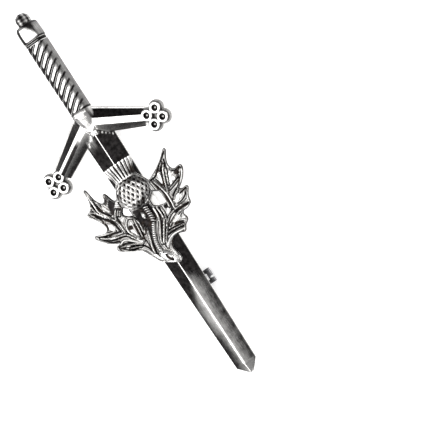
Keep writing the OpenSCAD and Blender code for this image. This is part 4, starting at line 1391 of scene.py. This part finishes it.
def leaf_relief(points, edge):
    """Height over the thistle's back and patina of the leaves, with painted shade along the outline."""
    found_ribs = [near_line(points, smoothed(seen_on_leaves(line[1:]))) for line in ribs]
    height, dark = leaf_grounds(points, np.min([away for away, _ in found_ribs], axis=0))
    # The cuts are carved into the grounds, and the ribs stand over both
    for line in cuts:
        found = near_line(points, smoothed(seen_on_leaves(line[1:])))
        share = line_share(line, found, past_end=0.02)
        height = height - 0.2 * share
        dark = dark + (1 - dark) * np.clip(1.3 * share, 0, 1)
    for line, found in zip(ribs, found_ribs):
        share = line_share(line, found, past_end=0.04)
        height = height + 0.36 * share
        dark = dark + (0.02 - dark) * np.clip(1.6 * share, 0, 1)
    # A rubbed lip along the outline
    lip = hump(edge - 0.2, 0.14)
    height = height + 0.12 * lip
    dark = dark - 0.5 * lip * dark
    height, dark = add_bract(points, edge, height, dark)
    rounded = 0.5 + 0.5 * np.sqrt(np.clip(edge / 0.22, 0, 1))
    return height * rounded, dark


def make_leaves():
    gaps = [divided(np.array(gap) * share_size, spacing=0.2) for gap in (left_gap, right_gap)]
    loops = [outline_points()] + gaps
    loops = [loop + thistle_at[:2] for loop in loops]

    def relief(points, edge):
        return leaf_relief(points - thistle_at[:2], edge)

    return relief_slab("thistle_leaves", loops, relief, thistle_z, leaf_metal, step=0.085, sharp=50)


def bulb_ring(lean):
    """Radius and height of the bulb, leaning from straight up. It is flatter on top than a ball."""
    return 0.5 * bulb_w * math.sin(lean) ** 0.85, bulb_h * math.cos(lean) ** 0.85


def make_bulb():
    """The black ball that the scales lie on."""
    up = 40
    profile = [(0.0, bulb_h)] + [bulb_ring(0.5 * math.pi * k / up) for k in range(1, up + 1)]
    points, faces = lathe(profile, turns=96)
    points = np.array(points)
    dark = 0.97 - 0.15 * smooth_step(-points[:, 2], -1.2, -0.8)
    points = points * np.array([0.97, 0.97, 0.95]) + thistle_at
    return new_piece("bulb", points, faces, leaf_metal, dark, sharp=50)


def make_scales():
    """Diamond scales in a lattice over the bulb: raised edges round a sunk middle."""
    wide, tall = 0.59, 0.92
    # Rings of a scale from its foot inwards: size as a share, height, patina
    rings = [
        (1.04, -0.12, 0.3), (0.97, 0.06, 0.08), (0.84, 0.14, 0.0),
        (0.62, 0.1, 0.1), (0.46, -0.03, 0.8), (0.24, -0.08, 0.9)]
    diamond = [(1, 0), (0.5, 0.5), (0, 1), (-0.5, 0.5), (-1, 0), (-0.5, -0.5), (0, -1), (0.5, -0.5)]
    points, faces = loft([
        [(y * tall * share, -x * wide * share, z) for x, y in diamond] for share, z, _ in rings])
    at, facing = [], []
    rings_at = np.array([bulb_ring(lean) for lean in np.linspace(0, math.radians(86), 200)])
    run = length_along(rings_at)
    for row in range(-8, 9):
        for column in range(-7, 8):
            u = (column + 0.5 * (row % 2)) * 2 * wide
            v = row * tall + 0.35
            arc = math.hypot(u, v)
            if arc > run[-1] - 0.5:
                continue
            direction = (u / arc, v / arc) if arc else (0.0, 0.0)
            r, z = (np.interp(arc, run, rings_at[:, k]) for k in (0, 1))
            far_r, far_z = (np.interp(arc + 0.1, run, rings_at[:, k]) for k in (0, 1))
            normal = np.array([(z - far_z) * direction[0], (z - far_z) * direction[1], far_r - r])
            at.append(np.array([r * direction[0], r * direction[1], z]) * 0.965 + thistle_at)
            facing.append(normal / np.linalg.norm(normal))
    along_y = [(0, 1, 0)] * len(at)
    obj = copies("bulb_scales", points, faces, at, facing, along_y, leaf_metal, sharp=40)
    # Each scale's middle is rubbed a little differently. Towards the bulb's rim painted shade takes over
    place = places(obj)
    number, within = np.divmod(np.arange(len(place)), len(points))
    ring = within // len(diamond)
    rubbed = np.where(ring > 3, 0.75 + 0.25 * np.sin(12.9 * number), 1)
    tone = np.array([tone for _, _, tone in rings])[ring] * rubbed
    centre = place - thistle_at
    out = (np.abs(centre[:, 0] - 0.3) / 3.0) ** 1.4 + (np.abs(centre[:, 1] + 0.1) / 2.4) ** 1.4
    rim = smooth_step(out ** 0.7, 0.75, 1.15)
    uneven = 0.5 + 0.24 * np.sin(7.3 * number + 1)
    set_patina_and_painted_light(obj, tone + np.where(tone < 0.5, uneven, 1 - tone) * rim)
    return obj


def make_crown():
    """The fluted crown over the bulb, wider towards its top."""
    rows = []
    dark = []
    around = flutes * 14
    a = np.linspace(math.pi, 0, around + 1)
    aside = np.cos(a)
    flute = np.abs(np.cos(flutes * a))
    groove = 1 - smooth_step(flute, 0.28, 0.88)
    place = np.array([-0.12, 0.0, 0.06, 0.12, 0.45, 0.8, 0.96, 1])
    widened = np.array([-0.05, 0.0, 0.02, 0.02, 0.3, 0.83, 0.98, 0.97])
    for share in np.linspace(-0.12, 1, 44):
        wide = np.interp(share, place, widened)
        w = 0.5 * (neck_w + (crown_w - neck_w) * wide)
        h = crown_h * (0.75 + 0.25 * wide)
        depth = 0.3 * float(smooth_step(share, 0.04, 0.14))
        r = 1 - groove * depth / w
        lip = 0.12 * (1 - groove) if share > 0.99 else 0.0
        y = bulb_y + 0.42 * bulb_w + share * crown_l + lip
        rows.append(np.stack([
            w * aside * r + thistle_x, np.full(around + 1, y), h * np.sin(a) * r + thistle_z], 1))
        # Black grooves, and painted shade across the neck and on both sides, the right one most at the foot
        tone = 1.1 * groove * smooth_step(share, 0.04, 0.14) * (1 - 0.5 * smooth_step(share, 0.93, 1.0))
        tone = tone + 0.4 * hump(share - 0.32, 0.36) * (share > 0.08)
        tone = tone + 0.35 * smooth_step(aside, 0.72, 0.95) * smooth_step(1 - share, 0.15, 0.6)
        tone = tone + 0.4 * smooth_step(aside, 0.48, 0.75) * smooth_step(0.38 - share, 0, 0.25)
        tone = tone + 0.6 * smooth_step(-aside, 0.74, 0.95) * smooth_step(1 - share, 0.3, 0.7)
        dark.append(np.clip(tone, 0, 1))
    points, faces = loft(rows)
    return new_piece("crown", points, faces, leaf_metal, np.concatenate(dark), sharp=50)


# The stem's middle, as places of the upright view
stem_seen = [(0.05, -3.7), (0.15, -5.6), (0.05, -6.6), (-0.55, -7.5), (-1.0, -8.4), (-1.5, -9.4),
             (-1.9, -10.5), (-2.05, -11.6), (-2.0, -12.4)]
# The share of it that is thick, the height of its axis, and the cores of both parts
thick_share = 0.33
stem_lift = 1.1
thick_core = 0.38
thin_core = 0.24


def make_stem():
    line = smoothed(from_view(stem_seen, thistle_z + 1.2), rounds=3)
    run = length_along(line)
    axis = np.column_stack([line, np.full(len(line), thistle_z + stem_lift)])
    split = int(np.searchsorted(run / run[-1], thick_share))
    thick = beaded_lines(
        "stem_top", [axis[:split]], leaf_metal,
        bead=0.56, spacing=0.46, core=thick_core, length=0.38, slant=0.3)
    thin = beaded_lines(
        "stem_foot", [axis[split - 1:]], leaf_metal,
        bead=0.42, spacing=0.44, core=thin_core, length=0.6, slant=0.45)
    obj = join("stem_beads", thick, thin)
    place = places(obj)
    away, along = near_line(place[:, :2], line)
    off_axis = np.hypot(away, place[:, 2] - thistle_z - stem_lift)
    core = np.where(along < thick_share, thick_core, thin_core)
    edge = np.where(along < thick_share, 0.16, 0.1)
    set_patina_and_painted_light(obj, 1.0 - 0.85 * smooth_step((off_axis - core) / edge, 0.0, 1.0))
    return obj


# Everything on its body

sword_pieces = [
    make_blade(), make_arms(), make_hub(), make_foil_base(-1), make_foil_base(1), make_foil_rings(),
    make_grip(), make_grip_wire(), make_bead_rings(), make_pommel_rings(), make_cap(), make_button()]
for part in sword_pieces:
    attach(part, "root")
    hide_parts("sword")

thistle_pieces = [make_leaves(), make_bulb(), make_scales(), make_crown(), make_stem()]
for part in thistle_pieces:
    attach(part, "root")
    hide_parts("thistle")

for label in ("hinge_bracket", "hinge_rivet", "catch_housing", "catch_roller"):
    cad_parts[label].material_slots[0].material = finding_metal
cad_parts["pin_stem"].material_slots[0].material = pin_metal


# Floor, lights and camera

def make_floor():
    half = 1.5
    corners = [(-half, -half, 0), (half, -half, 0), (half, half, 0), (-half, half, 0)]
    mesh = bpy.data.meshes.new("floor")
    mesh.from_pydata(corners, [], [(0, 1, 2, 3)])
    mesh.materials.append(pale_floor())
    floor = shown("floor", mesh)


def softbox(name, direction, distance, width, height, radiance):
    """A square light that shines on the object from a direction. radiance is how bright its face looks."""
    aim = Vector((0, 0, 0.004))
    data = bpy.data.lights.new(name, "AREA")
    data.shape = "RECTANGLE"
    data.size = width
    data.size_y = height
    data.energy = radiance * math.pi * width * height
    obj = shown(name, data)
    obj.location = aim + Vector(direction).normalized() * distance
    obj.rotation_euler = (aim - obj.location).to_track_quat("-Z", "Y").to_euler()
    obj.visible_camera = False


def leaning(degrees_x, degrees_y):
    """The direction that leans from straight up towards +X and +Y."""
    return (math.tan(math.radians(degrees_x)), math.tan(math.radians(degrees_y)), 1.0)


def make_lights():
    softbox("key", leaning(-22, 4), distance=0.55, width=0.42, height=0.78, radiance=2.8)
    softbox("fill_low", leaning(-27, -44), distance=0.7, width=0.42, height=0.36, radiance=2.4)
    softbox("fill_mid", leaning(23, 0), distance=0.6, width=0.22, height=0.6, radiance=0.8)
    softbox("fill_right", leaning(50, 10), distance=0.7, width=0.25, height=0.6, radiance=1.6)
    softbox("fill_left", leaning(-66, 0), distance=0.7, width=0.2, height=0.6, radiance=0.7)
    room_grey = (0.36, 0.36, 0.365, 1)
    world = bpy.data.worlds.new("studio")
    world.use_nodes = True
    world.node_tree.nodes["Background"].inputs["Color"].default_value = room_grey
    bpy.context.scene.world = world


def make_camera():
    data = bpy.data.cameras.new("camera")
    data.sensor_width = 36
    data.lens = data.sensor_width * view_distance / view_w
    data.clip_start = 0.01
    camera = shown("camera", data)
    turn = Matrix([camera_right, camera_up, camera_back]).transposed()
    place = Vector((camera_aim + view_distance * camera_back) * MM)
    camera.matrix_world = Matrix.Translation(place) @ turn.to_4x4()
    bpy.context.scene.camera = camera


make_floor()
make_lights()
make_camera()
bpy.context.scene.view_settings.view_transform = "Standard"
